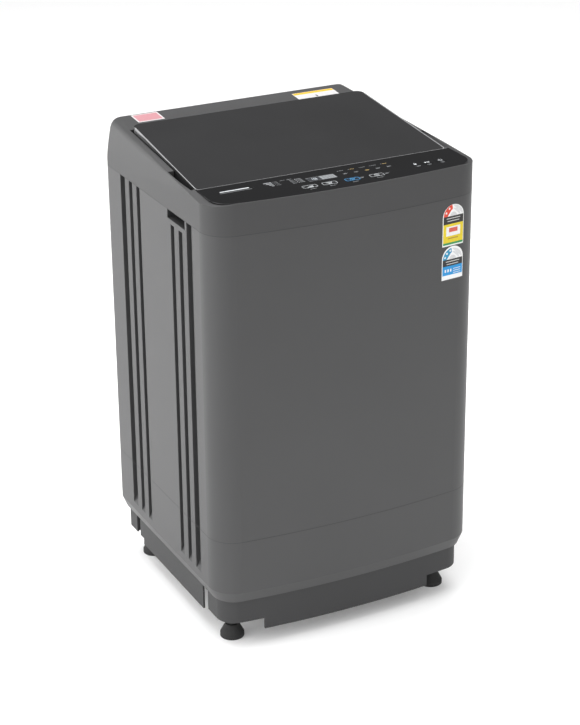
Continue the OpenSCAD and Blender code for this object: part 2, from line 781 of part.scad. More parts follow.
module foot() {
  color("black") {
    cylinder(r = foot_r, h = 7);
    translate([0, 0, 7]) cylinder(r1 = foot_r, r2 = 13, h = foot_h - 7);
    translate([0, 0, foot_h]) cylinder(r = 10, h = 6, $fn = 6);
    translate([0, 0, foot_h]) cylinder(r = bolt_r, h = 54);
  }
}

module foot_front_left() {
  translate([-foot_x, foot_y0, 0]) foot();
}

module foot_front_right() {
  translate([foot_x, foot_y0, 0]) foot();
}

module foot_rear_left() {
  translate([-foot_x, foot_y1, 0]) foot();
}

module foot_rear_right() {
  translate([foot_x, foot_y1, 0]) foot();
}

module lid_frame() {
  color("black") {
    difference() {
      intersection() {
        translate([0, 0, deck_h - 20]) linear_extrude(140) lid_plan(0);
        below_plane(glass_z - glass_t, lid_slope);
      }
      below_plane(deck_h + 1, rim_slope);
      translate([-lid_half_rear + 22, lid_y0 + 20, deck_h - 20])
        cube([2 * lid_half_rear - 44, lid_len - 66, 140]);
      for (s = [-1, 1]) translate([s * hinge_x - 11, hinge_y - 26, deck_h - 20])
        cube([22, 60, 140]);
    }
    for (s = [-1, 1]) for (e = [-1, 1]) difference() {
      union() {
        translate([s * hinge_x + e * 7.5 - 3.5, hinge_y, hinge_h]) rotate([0, 90, 0])
          cylinder(r = 5.5, h = 7);
        translate([s * hinge_x + e * 7.5 - 3.5, hinge_y - 27, hinge_h - 5.5]) cube([7, 27, 8]);
      }
      translate([s * hinge_x - 30, hinge_y, hinge_h]) rotate([0, 90, 0])
        cylinder(r = pin_r + fit, h = 60);
    }
  }
}

module lid_glass() {
  color([0.1, 0.1, 0.1, 0.6]) difference() {
    intersection() {
      translate([0, 0, deck_h - 20]) linear_extrude(140) lid_plan(0);
      below_plane(glass_z, lid_slope);
    }
    below_plane(glass_z - glass_t, lid_slope);
  }
}

module outer_tub() {
  color("whitesmoke") difference() {
    union() {
      translate([0, tub_y, 0]) rotate_extrude() polygon([[30, tub_floor_h],
        [wall_r, tub_floor_h], [wall_r, tub_top - 6], [tub_r, tub_top - 6], [tub_r, tub_top],
        [wall_r - tub_t, tub_top], [wall_r - tub_t, tub_floor_h + 4], [30, tub_floor_h + 4]]);
      translate([0, tub_y, plate_h + 4]) difference() {
        cylinder(r = 62, h = tub_floor_h - plate_h - 3);
        translate([0, 0, -1]) cylinder(r = 36, h = tub_floor_h - plate_h);
      }
      for (k = [0:1:7]) translate([0, tub_y, 0]) rotate([0, 0, 22.5 + 45 * k])
        translate([60, -2, plate_h + 4]) cube([wall_r - 64, 4, tub_floor_h - plate_h - 3]);
      for (s = [-1, 1]) for (y = [rod_y0, rod_y1]) {
        reach = norm([rod_x, y - tub_y]);
        translate([0, tub_y, 0]) rotate([0, 0, atan2(y - tub_y, s * rod_x)]) {
          translate([wall_r - 2, -19, lug_low]) cube([reach - wall_r + 2, 38, 12]);
          for (e = [-17, 13]) translate([wall_r - 2, e, lug_low + 4]) cube([40, 4, 42]);
          translate([reach, 0, lug_low]) cylinder(r = 22, h = 12);
        }
      }
      for (k = [0:1:3]) translate([0, tub_y, tub_floor_h + 60 + 100 * k]) difference() {
        cylinder(r = wall_r + 2.5, h = 4);
        translate([0, 0, -1]) cylinder(r = wall_r - 1, h = 6);
      }
      translate([hose_x, hose_y, lug_low + 20]) difference() {
        translate([0, 0, -12]) cylinder(r = 7, h = 12);
      }
    }
    at_corners() translate([0, 0, lug_low - 10]) cylinder(r = rod_r + 4, h = 60);
    translate([drain_x, drain_y, tub_floor_h - 30]) cylinder(r = 14, h = 60);
    translate([0, tub_y, tub_floor_h + 4]) cylinder(r = wall_r - tub_t, h = 600);
  }
}

module tub_cover() {
  color("white") translate([0, tub_y, 0]) rotate_extrude() polygon([[ring_open, tub_top + 6],
    [ring_open + 4, tub_top + 14], [ring_open + 16, tub_top + 14], [tub_r - 12, tub_top + 4],
    [tub_r, tub_top + 4], [tub_r, tub_top], [tub_r - 14, tub_top],
    [ring_open + 14, tub_top + 11], [ring_open + 7, tub_top + 11], [ring_open + 3, tub_top + 5]]);
}

module drive_bracket() {
  color("silver") difference() {
    union() {
      translate([-50, tub_y - 110, plate_h]) cube([100, 110 + motor_reach + 62, 4]);
      translate([-150, tub_y - 40, plate_h]) cube([240, 80, 4]);
    }
    translate([0, tub_y, plate_h - 1]) cylinder(r = 36, h = 8);
    for (a = [0:1:5]) translate([0, tub_y, plate_h - 1]) rotate([0, 0, 60 * a])
      translate([76, 0, 0]) cylinder(r = 3.2, h = 8);
    translate([0, motor_y, plate_h - 1]) cylinder(r = 22, h = 8);
    for (y = [tub_y - 90]) translate([-20, y - 6, plate_h - 1]) cube([40, 12, 8]);
  }
}

module clutch_housing() {
  color("darkgray") {
    translate([0, tub_y, 0]) difference() {
      union() {
        rotate_extrude() polygon([[28, 172], [33, 172], [33, 181], [house_r, 181],
          [house_r, plate_h - 4], [86, plate_h - 4], [86, plate_h], [36, plate_h],
          [36, tub_floor_h], [31, tub_floor_h], [31, drum_high + 12], [36, drum_high + 12],
          [36, plate_h - 4], [house_r - 3, plate_h - 4], [house_r - 3, 184], [28, 184]]);
      }
      for (a = [0:1:5]) rotate([0, 0, 60 * a]) translate([76, 0, plate_h - 6])
        cylinder(r = 3.2, h = 8);
      for (a = [120, 240]) rotate([0, 0, a]) translate([40, -16, 200]) cube([40, 32, 50]);
    }
    difference() {
      translate([house_r - 4, lever_y - 9, lever_low - 9]) cube([lever_x + 8 - house_r + 4, 18, 8]);
      translate([0, tub_y, 170]) cylinder(r = house_r - 1, h = 100);
    }
    translate([lever_x, lever_y, lever_low - 2]) cylinder(r = 4, h = 8);
  }
}

module shaft_bearings() {
  color("silver") translate([0, tub_y, 0]) {
    translate([0, 0, 284]) difference() {
      cylinder(r = 31, h = 14);
      translate([0, 0, -1]) cylinder(r = spin_r + fit, h = 16);
    }
    translate([0, 0, 173]) difference() {
      cylinder(r = 28, h = 10);
      translate([0, 0, -1]) cylinder(r = 17 + fit, h = 12);
    }
  }
}

module tub_seal() {
  color("black") translate([0, tub_y, tub_floor_h]) rotate_extrude()
    polygon([[spin_r + fit, 0], [30, 0], [30, 7], [24, 7], [20, 9], [spin_r + fit, 9]]);
}

module motor_stator() {
  color("gray") translate([0, motor_y, 0]) {
    difference() {
      union() {
        rotate_extrude() polygon([[axle_r + fit, motor_low], [40, motor_low],
          [motor_r - 4, motor_low + 8], [motor_r, motor_low + 8], [motor_r, motor_high - 8],
          [motor_r - 4, motor_high - 8], [40, motor_high], [axle_r + fit, motor_high],
          [axle_r + fit, motor_high - 4], [38, motor_high - 4], [46, motor_high - 12],
          [46, motor_low + 12], [38, motor_low + 4], [axle_r + fit, motor_low + 4]]);
        for (a = [45:90:315]) rotate([0, 0, a]) translate([motor_r - 12, 0, motor_high - 9])
          cylinder(r = 8, h = plate_h - motor_high + 9);
      }
      for (a = [0:1:7]) rotate([0, 0, 45 * a]) translate([22, -3, motor_low - 5])
        cube([12, 6, 12]);
    }
  }
}

// Belt outline: two circles joined by their outer tangents
module belt_loop(grow) {
  r1 = pulley_r + gap + grow;
  r2 = motor_pulley_r + gap + grow;
  a = acos((r1 - r2) / motor_reach);
  translate([0, tub_y]) circle(r = r1);
  translate([0, motor_y]) circle(r = r2);
  polygon([[r1 * sin(a), tub_y + r1 * cos(a)], [r2 * sin(a), motor_y + r2 * cos(a)],
    [-r2 * sin(a), motor_y + r2 * cos(a)], [-r1 * sin(a), tub_y + r1 * cos(a)]]);
}

module drive_belt() {
  color("black") translate([0, 0, pulley_low + 5]) linear_extrude(10) difference() {
    belt_loop(5);
    belt_loop(0);
  }
}

module drain_valve() {
  x1 = drain_drop_x + 18;
  color("white") difference() {
    union() {
      translate([drain_x, drain_y, drain_h]) cylinder(r = 17, h = tub_floor_h - drain_h);
      translate([drain_x - 18, drain_y, drain_h]) rotate([0, 90, 0])
        cylinder(r = 22, h = x1 - drain_x + 18);
      translate([drain_drop_x, drain_y, drain_h - 44]) cylinder(r = 14, h = 44);
      translate([drain_drop_x, drain_y, drain_h - 44]) cylinder(r = 16, h = 3);
    }
    difference() {
      translate([drain_x - 15, drain_y, drain_h]) rotate([0, 90, 0])
        cylinder(r = 19, h = x1 - drain_x + 12);
      translate([drain_x + 16, drain_y, drain_h]) rotate([0, 90, 0]) difference() {
        cylinder(r = 20, h = 3);
        translate([0, 0, -1]) cylinder(r = 12, h = 5);
      }
    }
    translate([drain_x, drain_y, drain_h]) cylinder(r = 14, h = 60);
    translate([drain_drop_x, drain_y, drain_h - 50]) cylinder(r = 11, h = 50);
    translate([x1 - 6, drain_y, drain_h]) rotate([0, 90, 0]) cylinder(r = stem_r + gap, h = 12);
  }
}

module brake_pull() {
  x0 = drain_x + 19.4;
  x1 = drain_drop_x + 18;
  color("silver") {
    translate([x0, drain_y, drain_h]) rotate([0, 90, 0]) cylinder(r = 15, h = 4);
    translate([x0, drain_y, drain_h]) rotate([0, 90, 0]) cylinder(r = 9, h = 14);
    translate([x0, drain_y, drain_h]) rotate([0, 90, 0])
      cylinder(r = stem_r, h = x1 + 20 - x0);
    translate([x1 + 13, hook_y - 3, drain_h - 3]) cube([6, drain_y - hook_y + 3, 6]);
    translate([hook_x - 3, hook_y - 3, drain_h - 3]) cube([x1 + 19 - hook_x + 3, 6, 6]);
    translate([hook_x, hook_y, lever_low - 3])
      cylinder(r = 2.5, h = drain_h - lever_low + 3);
  }
}

module drain_actuator() {
  x0 = drain_drop_x + 52;
  color("dimgray") {
    translate([x0, drain_y - 18, drain_h - 18]) cube([38, 36, 30]);
    translate([x0, drain_y - 18, drain_h + 12]) cube([16, 6, tub_floor_h - drain_h - 12]);
    translate([x0, drain_y, drain_h + 12]) cube([16, 6, tub_floor_h - drain_h - 12]);
  }
}

module brake_lever() {
  arm = norm([hook_x - lever_x, hook_y - lever_y]);
  a = atan2(hook_y - lever_y, hook_x - lever_x);
  color("silver") translate([lever_x, lever_y, lever_low]) linear_extrude(4) difference() {
    union() {
      circle(r = 9);
      rotate(a) polygon([[4, -6], [arm + 9, -7], [arm + 9, 7], [4, 6]]);
      rotate(158) polygon([[4, -5], [27, -4], [27, 4], [4, 5]]);
    }
    circle(r = 4 + fit);
    rotate(a) translate([arm - 4, -3.4]) square([16, 6.8]);
  }
}

module suspension_springs() {
  color("silver") at_corners() {
    difference() {
      union() {
        translate([0, 0, rod_seat_h + 4]) cylinder(r = 13, h = lug_low - rod_seat_h - 4);
        for (k = [0:1:7]) translate([0, 0, rod_seat_h + 4 + 13 * k]) cylinder(r = 16, h = 5);
      }
      translate([0, 0, rod_seat_h]) cylinder(r = 10, h = 120);
    }
  }
}

module drain_bellows() {
  low = pipe_h + 20;
  color("darkgray") translate([drain_drop_x, drain_y, 0]) difference() {
    union() {
      translate([0, 0, low]) cylinder(r = 16.5, h = drain_h - 34 - low);
      for (k = [0:1:11]) translate([0, 0, low + 18 + 8.5 * k]) cylinder(r = 19, h = 4);
    }
    translate([0, 0, low - 1]) cylinder(r = 14, h = 26);
    translate([0, 0, low + 10]) cylinder(r = 12.5, h = drain_h - 54 - low);
    translate([0, 0, drain_h - 44]) cylinder(r = 16, h = 3);
    translate([0, 0, drain_h - 45]) cylinder(r = 14, h = 40);
  }
}

module pressure_hose() {
  color("black") translate([hose_x, hose_y, lug_low + 20]) difference() {
    cylinder(r = 4, h = seam_h + 4 - lug_low - 20);
    translate([0, 0, -1]) cylinder(r = 2.5, h = 800);
  }
}

module basket_wall() {
  color("silver") translate([0, tub_y, basket_low]) difference() {
    cylinder(r = basket_r, h = basket_top - basket_low);
    translate([0, 0, -1]) cylinder(r = basket_r - basket_t, h = basket_top - basket_low + 2);
  }
}

module basket_base() {
  color("whitesmoke") translate([0, tub_y, basket_low]) rotate_extrude()
    polygon([[40, 0], [basket_r - basket_t, 0], [basket_r - basket_t, 26],
      [basket_r - basket_t - 3, 26], [pulsator_r + 8, 16], [pulsator_r + 3, 7], [40, 7]]);
}

module balance_ring() {
  color("whitesmoke") translate([0, tub_y, basket_top]) rotate_extrude()
    polygon([[basket_r - 18, 4], [basket_r - 10, 0], [basket_r + 4, 0], [basket_r + 6, 4],
      [basket_r + 6, 38], [basket_r, 42], [basket_r - 12, 42], [basket_r - 18, 36]]);
}

module spin_shaft() {
  color("silver") translate([0, tub_y, 0]) difference() {
    rotate_extrude() polygon([[shaft_r + fit, drum_high], [spin_r, drum_high],
      [spin_r, basket_low - 8], [100, basket_low - 5], [100, basket_low],
      [34, basket_low], [34, basket_low + 6], [shaft_r + fit, basket_low + 6]]);
    for (a = [0:1:5]) rotate([0, 0, 60 * a]) translate([88, 0, basket_low - 9])
      cylinder(r = 3.2, h = 10);
  }
}

module tooth(r_root, r_tip, w_root, w_tip) {
  polygon([[r_root, -w_root / 2], [r_tip, -w_tip / 2], [r_tip, w_tip / 2], [r_root, w_root / 2]]);
}

module gear(n, phase) {
  r = n * gear_m / 2;
  circle(r = r - 1.3);
  for (k = [0:1:n - 1]) rotate(phase + k * 360 / n) tooth(r - 1.6, r + 1.1, 2.9, 1.1);
}

module brake_drum() {
  ring_n = 56;
  ring_r = ring_n * gear_m / 2;
  color("gray") translate([0, tub_y, 0]) {
    rotate_extrude() polygon([[input_r + fit, 172], [17, 172], [17, drum_low],
      [drum_r, drum_low], [drum_r, drum_high], [shaft_r + fit, drum_high],
      [shaft_r + fit, drum_high - 4], [drum_r - 3, drum_high - 4], [drum_r - 3, gear_high],
      [ring_r + 1.4, gear_high], [ring_r + 1.4, gear_low], [drum_r - 3, gear_low],
      [drum_r - 3, drum_low + 3], [input_r + fit, drum_low + 3]]);
    translate([0, 0, gear_low]) linear_extrude(gear_high - gear_low)
      for (k = [0:1:ring_n - 1]) rotate(k * 360 / ring_n)
        tooth(ring_r + 1.7, ring_r - 1.1, 2.9, 1.1);
  }
}

module pulsator() {
  color("whitesmoke") translate([0, tub_y, basket_low]) difference() {
    union() {
      rotate_extrude() polygon([[shaft_r, 10], [22, 10], [22, 17],
        [pulsator_r - 4, 17], [pulsator_r, 20], [pulsator_r, 27], [pulsator_r - 4, 27],
        [pulsator_r - 12, 21], [58, 23], [38, 46], [20, 50], [shaft_r, 50]]);
      for (k = [0:1:5]) rotate([0, 0, 60 * k]) translate([30, -7, 18])
        intersection() {
          cube([pulsator_r - 40, 14, 24]);
          translate([-10, 7, -38]) rotate([0, 90, 0]) cylinder(r = 58, h = 200);
        }
    }
    for (k = [0:1:5]) rotate([0, 0, 30 + 60 * k]) for (r = [80:16:144])
      translate([r, 0, 0]) cylinder(r = 2.2, h = 60, $fn = 24);
  }
}

module wash_shaft() {
  color("silver") translate([0, tub_y, 0]) {
    translate([0, 0, gear_high + 2]) cylinder(r = shaft_r, h = basket_low + 50 - gear_high - 2);
    translate([0, 0, gear_high + 2]) cylinder(r = 36, h = 4);
    for (k = [0:1:2]) rotate([0, 0, 90 + 120 * k]) translate([planet_ring, 0, gear_low - 1])
      cylinder(r = pin_gear_r, h = gear_high - gear_low + 5);
    translate([0, 0, basket_low + 50]) cylinder(r1 = 13, r2 = 10, h = 6);
  }
}

module input_shaft() {
  color("silver") translate([0, tub_y, 0]) {
    translate([0, 0, pulley_low - 4]) cylinder(r = input_r, h = gear_low - pulley_low + 5);
    translate([0, 0, gear_low]) linear_extrude(gear_high - gear_low) gear(16, 0);
  }
}

module drive_pulley() {
  color("darkgray") translate([0, tub_y, 0]) difference() {
    rotate_extrude() polygon([[input_r, pulley_low], [20, pulley_low], [20, pulley_low + 8],
      [pulley_r - 6, pulley_low + 8], [pulley_r - 6, pulley_low], [pulley_r + 4, pulley_low],
      [pulley_r + 4, pulley_low + 3], [pulley_r, pulley_low + 4.5],
      [pulley_r, pulley_high - 4.5], [pulley_r + 4, pulley_high - 3],
      [pulley_r + 4, pulley_high], [pulley_r - 6, pulley_high],
      [pulley_r - 6, pulley_high - 8], [20, pulley_high - 8], [20, pulley_high + 12],
      [input_r, pulley_high + 12]]);
    for (k = [0:1:5]) rotate([0, 0, 60 * k]) translate([49, 0, pulley_low - 1])
      cylinder(r = 16, h = 40);
  }
}

module planet(k) {
  color("whitesmoke") translate([planet_ring * cos(90 + 120 * k),
    tub_y + planet_ring * sin(90 + 120 * k), gear_low])
    linear_extrude(gear_high - gear_low) difference() {
      gear(20, 9);
      circle(r = pin_gear_r + fit);
    }
}

module planet_gear_1() {
  planet(0);
}

module planet_gear_2() {
  planet(1);
}

module planet_gear_3() {
  planet(2);
}

module motor_rotor() {
  color("silver") translate([0, motor_y, 0]) {
    translate([0, 0, pulley_low - 4]) cylinder(r = axle_r, h = motor_high + 10 - pulley_low);
    translate([0, 0, motor_low + 14]) cylinder(r = 45, h = motor_high - motor_low - 28);
    difference() {
      translate([0, 0, pulley_low]) rotate_extrude() polygon([[axle_r, 0],
        [motor_pulley_r + 4, 0], [motor_pulley_r + 4, 3], [motor_pulley_r, 4.5],
        [motor_pulley_r, 15.5], [motor_pulley_r + 4, 17], [motor_pulley_r + 4, 20],
        [14, 20], [14, 28], [axle_r, 28]]);
    }
    translate([0, 0, pulley_high + 8]) difference() {
      cylinder(r = 50, h = 3);
      translate([0, 0, -1]) cylinder(r = axle_r, h = 5);
    }
    for (a = [0:1:11]) rotate([0, 0, 30 * a]) translate([20, -1, pulley_high + 10])
      cube([29, 2, 12]);
  }
}

cabinet();
rod_brackets();
rear_panel();
service_cover();
case_screws();
base_frame();
drain_pipe();
cord_gland();
top_cover();
control_fascia();
display_window();
control_board();
hinge_pins();
drawer_housing();
inlet_valve();
pressure_sensor();
suspension_rods();
energy_label();
water_label();
foot_front_left();
foot_front_right();
foot_rear_left();
foot_rear_right();
lid_frame();
lid_glass();
level_key();
process_key();
program_key();
timer_key();
start_key();
power_key();
detergent_drawer();
outer_tub();
tub_cover();
drive_bracket();
clutch_housing();
shaft_bearings();
tub_seal();
motor_stator();
drive_belt();
drain_valve();
drain_actuator();
suspension_springs();
drain_bellows();
pressure_hose();
basket_wall();
basket_base();
balance_ring();
spin_shaft();
brake_drum();
pulsator();
wash_shaft();
input_shaft();
drive_pulley();
planet_gear_1();
planet_gear_2();
planet_gear_3();
motor_rotor();
brake_pull();
brake_lever();
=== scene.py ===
"""Looks of a top load washing machine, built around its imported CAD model.

Metres, +Z up, front towards -Y. Places are worked out from the frame's own boxes and a few named
sizes that repeat the CAD's.
"""

import json
import math

import bmesh
import bpy
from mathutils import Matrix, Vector


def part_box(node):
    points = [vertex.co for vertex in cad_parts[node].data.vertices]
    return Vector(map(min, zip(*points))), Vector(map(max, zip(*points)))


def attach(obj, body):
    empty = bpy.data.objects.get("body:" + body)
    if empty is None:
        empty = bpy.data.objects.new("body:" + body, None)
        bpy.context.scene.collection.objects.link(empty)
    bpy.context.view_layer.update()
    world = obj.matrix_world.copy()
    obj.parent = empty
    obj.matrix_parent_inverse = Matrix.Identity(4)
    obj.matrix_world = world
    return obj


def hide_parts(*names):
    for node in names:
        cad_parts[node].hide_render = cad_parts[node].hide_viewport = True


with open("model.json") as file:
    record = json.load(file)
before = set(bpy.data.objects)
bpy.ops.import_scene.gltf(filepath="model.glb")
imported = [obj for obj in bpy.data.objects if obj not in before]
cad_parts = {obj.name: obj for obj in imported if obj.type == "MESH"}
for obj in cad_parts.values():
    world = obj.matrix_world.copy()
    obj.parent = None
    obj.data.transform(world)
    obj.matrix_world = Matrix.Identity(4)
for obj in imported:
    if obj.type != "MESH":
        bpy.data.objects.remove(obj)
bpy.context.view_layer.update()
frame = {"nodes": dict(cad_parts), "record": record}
nodes = frame["nodes"]
MM = 0.001

# ---------------------------------------------------------------- places taken from the frame
cabinet_low, cabinet_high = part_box("cabinet")
fascia_low, fascia_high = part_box("control_fascia")
glass_low, glass_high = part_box("lid_glass")
window_low, window_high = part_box("display_window")
half_w = cabinet_high.x
y_front = cabinet_low.y
y_rear = cabinet_high.y
seam_h = cabinet_high.z
panel_h = fascia_high.z
basket_low, basket_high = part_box("basket_wall")
tub_y = (basket_low.y + basket_high.y) / 2
basket_r = basket_high.x
front_bow = 19 * MM
corner_r = 52 * MM
rear_r = 26 * MM
rim_slope = math.radians(4)
lid_slope = math.radians(6.1)
lid_y0 = glass_low.y
lid_y1 = glass_high.y
rim_flat_to = lid_y0 + 36 * MM
bow_span = 270 * MM
lower_seam_h = 0.2304
bow_r = (bow_span ** 2 + front_bow ** 2) / (2 * front_bow)
bow_cy = y_front + bow_r


def rim_z(y):
    """Height of the top cover's rim at a place from front to rear."""
    return panel_h + max(0, y - rim_flat_to) * math.tan(rim_slope)


def lid_z(y):
    """Height of the lid glass's upper face."""
    return panel_h - 2 * MM + (y - lid_y0) * math.tan(lid_slope)


def front_y(x, out=0):
    """Place of the bowed front face at a place across the machine."""
    return bow_cy - math.sqrt((bow_r + out) ** 2 - x * x)


def body_outline(out=0, steps=14):
    """Plan outline of the cabinet as points, anticlockwise from the rear right corner."""
    kx = half_w - corner_r
    ky = bow_cy - math.sqrt((bow_r - corner_r) ** 2 - kx * kx)
    turn = math.atan2(ky - bow_cy, kx)
    points = []
    for k in range(steps + 1):
        a = math.pi / 2 * (1 - k / steps)
        points.append((half_w - rear_r + (rear_r + out) * math.cos(a),
                       y_rear - rear_r + (rear_r + out) * math.sin(a)))
    for k in range(steps + 1):
        a = turn * k / steps
        points.append((kx + (corner_r + out) * math.cos(a), ky + (corner_r + out) * math.sin(a)))
    for k in range(1, 24):
        x = kx * (1 - k / 12)
        points.append((x, front_y(x, out)))
    mirrored = [(-x, y) for x, y in points[:2 * steps + 2]]
    return points + mirrored[::-1]


# ---------------------------------------------------------------- camera, lights and floor
def make_camera():
    place = (-1.6443, -3.2980, 2.0577)
    yaw = math.radians(26.58)
    pitch = math.radians(23.64)
    roll = math.radians(-0.52)
    forward = Vector((math.sin(yaw) * math.cos(pitch), math.cos(yaw) * math.cos(pitch),
                      -math.sin(pitch)))
    right = Vector((math.cos(yaw), -math.sin(yaw), 0))
    up = right.cross(forward)
    image_right = math.cos(roll) * right + math.sin(roll) * up
    image_up = -math.sin(roll) * right + math.cos(roll) * up
    data = bpy.data.cameras.new("camera")
    data.sensor_fit = "AUTO"
    data.sensor_width = 36
    data.lens = 103.5
    data.clip_start = 0.05
    data.clip_end = 60
    camera = bpy.data.objects.new("camera", data)
    bpy.context.scene.collection.objects.link(camera)
    matrix = camera.matrix_world.copy()
    for row in range(3):
        matrix[row][0] = image_right[row]
        matrix[row][1] = image_up[row]
        matrix[row][2] = -forward[row]
        matrix[row][3] = place[row]
    camera.matrix_world = matrix
    bpy.context.scene.camera = camera


def area_light(name, place, target, size, power, colour=(1, 1, 1)):
    data = bpy.data.lights.new(name, "AREA")
    data.shape = "RECTANGLE"
    data.size, data.size_y = size
    data.energy = power
    data.color = colour
    light = bpy.data.objects.new(name, data)
    bpy.context.scene.collection.objects.link(light)
    light.location = place
    light.rotation_euler = (Vector(target) - Vector(place)).to_track_quat("-Z", "Y").to_euler()
    return light


def make_studio():
    world = bpy.data.worlds.new("studio")
    bpy.context.scene.world = world
    world.use_nodes = True
    sky = world.node_tree
    direction = sky.nodes.new("ShaderNodeTexCoord")
    facing = sky.nodes.new("ShaderNodeVectorMath")
    facing.operation = "DOT_PRODUCT"
    facing.inputs[1].default_value = Vector((-0.35, -0.42, 0.84)).normalized()
    strength = sky.nodes.new("ShaderNodeMapRange")
    strength.interpolation_type = "SMOOTHSTEP"
    strength.inputs["From Min"].default_value = 0.15
    strength.inputs["From Max"].default_value = 0.85
    strength.inputs["To Min"].default_value = 0.10
    strength.inputs["To Max"].default_value = 1.25
    sky.links.new(direction.outputs["Generated"], facing.inputs[0])
    sky.links.new(facing.outputs["Value"], strength.inputs["Value"])
    sky.links.new(strength.outputs["Result"], sky.nodes["Background"].inputs["Strength"])
    sky.nodes["Background"].inputs["Color"].default_value = (1, 1, 1, 1)
    area_light("left_softbox", (-2.9, 0.1, 1.5), (-0.27, 0, 0.5), (2.4, 2.4), 40)
    area_light("front_softbox", (0.9, -3.4, 1.6), (0, -0.2, 0.5), (2.4, 2.0), 2)
    area_light("top_softbox", (0.0, 0.3, 3.4), (0, 0.2, 0.0), (3.4, 2.6), 125)
    area_light("rear_softbox", (-1.9, 3.2, 1.1), (0, 0.2, 0.5), (2.0, 1.6), 34)
    mesh = bpy.data.meshes.new("floor")
    shape = bmesh.new()
    bmesh.ops.create_grid(shape, x_segments=2, y_segments=2, size=14)
    shape.to_mesh(mesh)
    shape.free()
    floor = bpy.data.objects.new("floor", mesh)
    bpy.context.scene.collection.objects.link(floor)
    floor.location = (0, 0, -0.0005)
    paper = paint("floor_paper", (0.88, 0.88, 0.88), 0.8, vary=0.004, grain=400, bump=0.02, specular=0.1)
    floor.data.materials.append(paper)
    glow = paper.node_tree.nodes["Principled BSDF"]
    glow.inputs["Emission Color"].default_value = (1, 1, 1, 1)
    glow.inputs["Emission Strength"].default_value = 0.14
    bpy.context.scene.view_settings.view_transform = "Standard"


# ---------------------------------------------------------------- materials
def new_material(name):
    material = bpy.data.materials.new(name)
    material.use_nodes = True
    tree = material.node_tree
    return material, tree, tree.nodes["Principled BSDF"]


def noise(tree, scale, detail=3, stretch=(1, 1, 1)):
    """Noise in the object's own coordinates, stretched along an axis for brushing."""
    place = tree.nodes.new("ShaderNodeTexCoord")
    mapping = tree.nodes.new("ShaderNodeMapping")
    mapping.inputs["Scale"].default_value = stretch
    texture = tree.nodes.new("ShaderNodeTexNoise")
    texture.inputs["Scale"].default_value = scale
    texture.inputs["Detail"].default_value = detail
    tree.links.new(place.outputs["Object"], mapping.inputs["Vector"])
    tree.links.new(mapping.outputs["Vector"], texture.inputs["Vector"])
    return texture


def ramp(tree, source, low, high, start=0.3, end=0.7):
    mix = tree.nodes.new("ShaderNodeValToRGB")
    mix.color_ramp.elements[0].position = start
    mix.color_ramp.elements[1].position = end
    mix.color_ramp.elements[0].color = (*low, 1)
    mix.color_ramp.elements[1].color = (*high, 1)
    tree.links.new(source, mix.inputs["Fac"])
    return mix


def spread(tree, source, low, high):
    """A value that wanders between two limits with the noise."""
    span = tree.nodes.new("ShaderNodeMapRange")
    span.inputs["From Min"].default_value = 0.3
    span.inputs["From Max"].default_value = 0.7
    span.inputs["To Min"].default_value = low
    span.inputs["To Max"].default_value = high
    tree.links.new(source, span.inputs["Value"])
    return span


def paint(name, colour, roughness, vary=0.06, grain=900, bump=0.08, metal=0.0, coat=0.0,
          cloud=5, stretch=(1, 1, 1), coat_rough=0.1, specular=0.5):
    """A finish with fine grain in its bump, slow clouds in its colour and uneven gloss."""
    material, tree, shader = new_material(name)
    slow = noise(tree, cloud, 4)
    low = tuple(c * (1 - vary) for c in colour)
    high = tuple(min(1, c * (1 + vary)) for c in colour)
    tree.links.new(ramp(tree, slow.outputs["Fac"], low, high).outputs["Color"], shader.inputs["Base Color"])
    fine = noise(tree, grain, 2, stretch)
    gloss = spread(tree, fine.outputs["Fac"], roughness * 0.9, min(1, roughness * 1.12))
    tree.links.new(gloss.outputs["Result"], shader.inputs["Roughness"])
    relief = tree.nodes.new("ShaderNodeBump")
    relief.inputs["Strength"].default_value = bump
    relief.inputs["Distance"].default_value = 0.0006
    tree.links.new(fine.outputs["Fac"], relief.inputs["Height"])
    tree.links.new(relief.outputs["Normal"], shader.inputs["Normal"])
    shader.inputs["Metallic"].default_value = metal
    shader.inputs["Specular IOR Level"].default_value = specular
    if coat:
        shader.inputs["Coat Weight"].default_value = coat
        shader.inputs["Coat Roughness"].default_value = coat_rough
    return material


def tinted_glass(name):
    """Dark tinted glass with a faint grain and a clear coat."""
    material = paint(name, (0.030, 0.030, 0.031), 0.06, vary=0.08, grain=220, bump=0.004, coat=0.3,
                     coat_rough=0.03)
    shader = material.node_tree.nodes["Principled BSDF"]
    shader.inputs["IOR"].default_value = 1.52
    shader.inputs["Transmission Weight"].default_value = 0.25
    return material


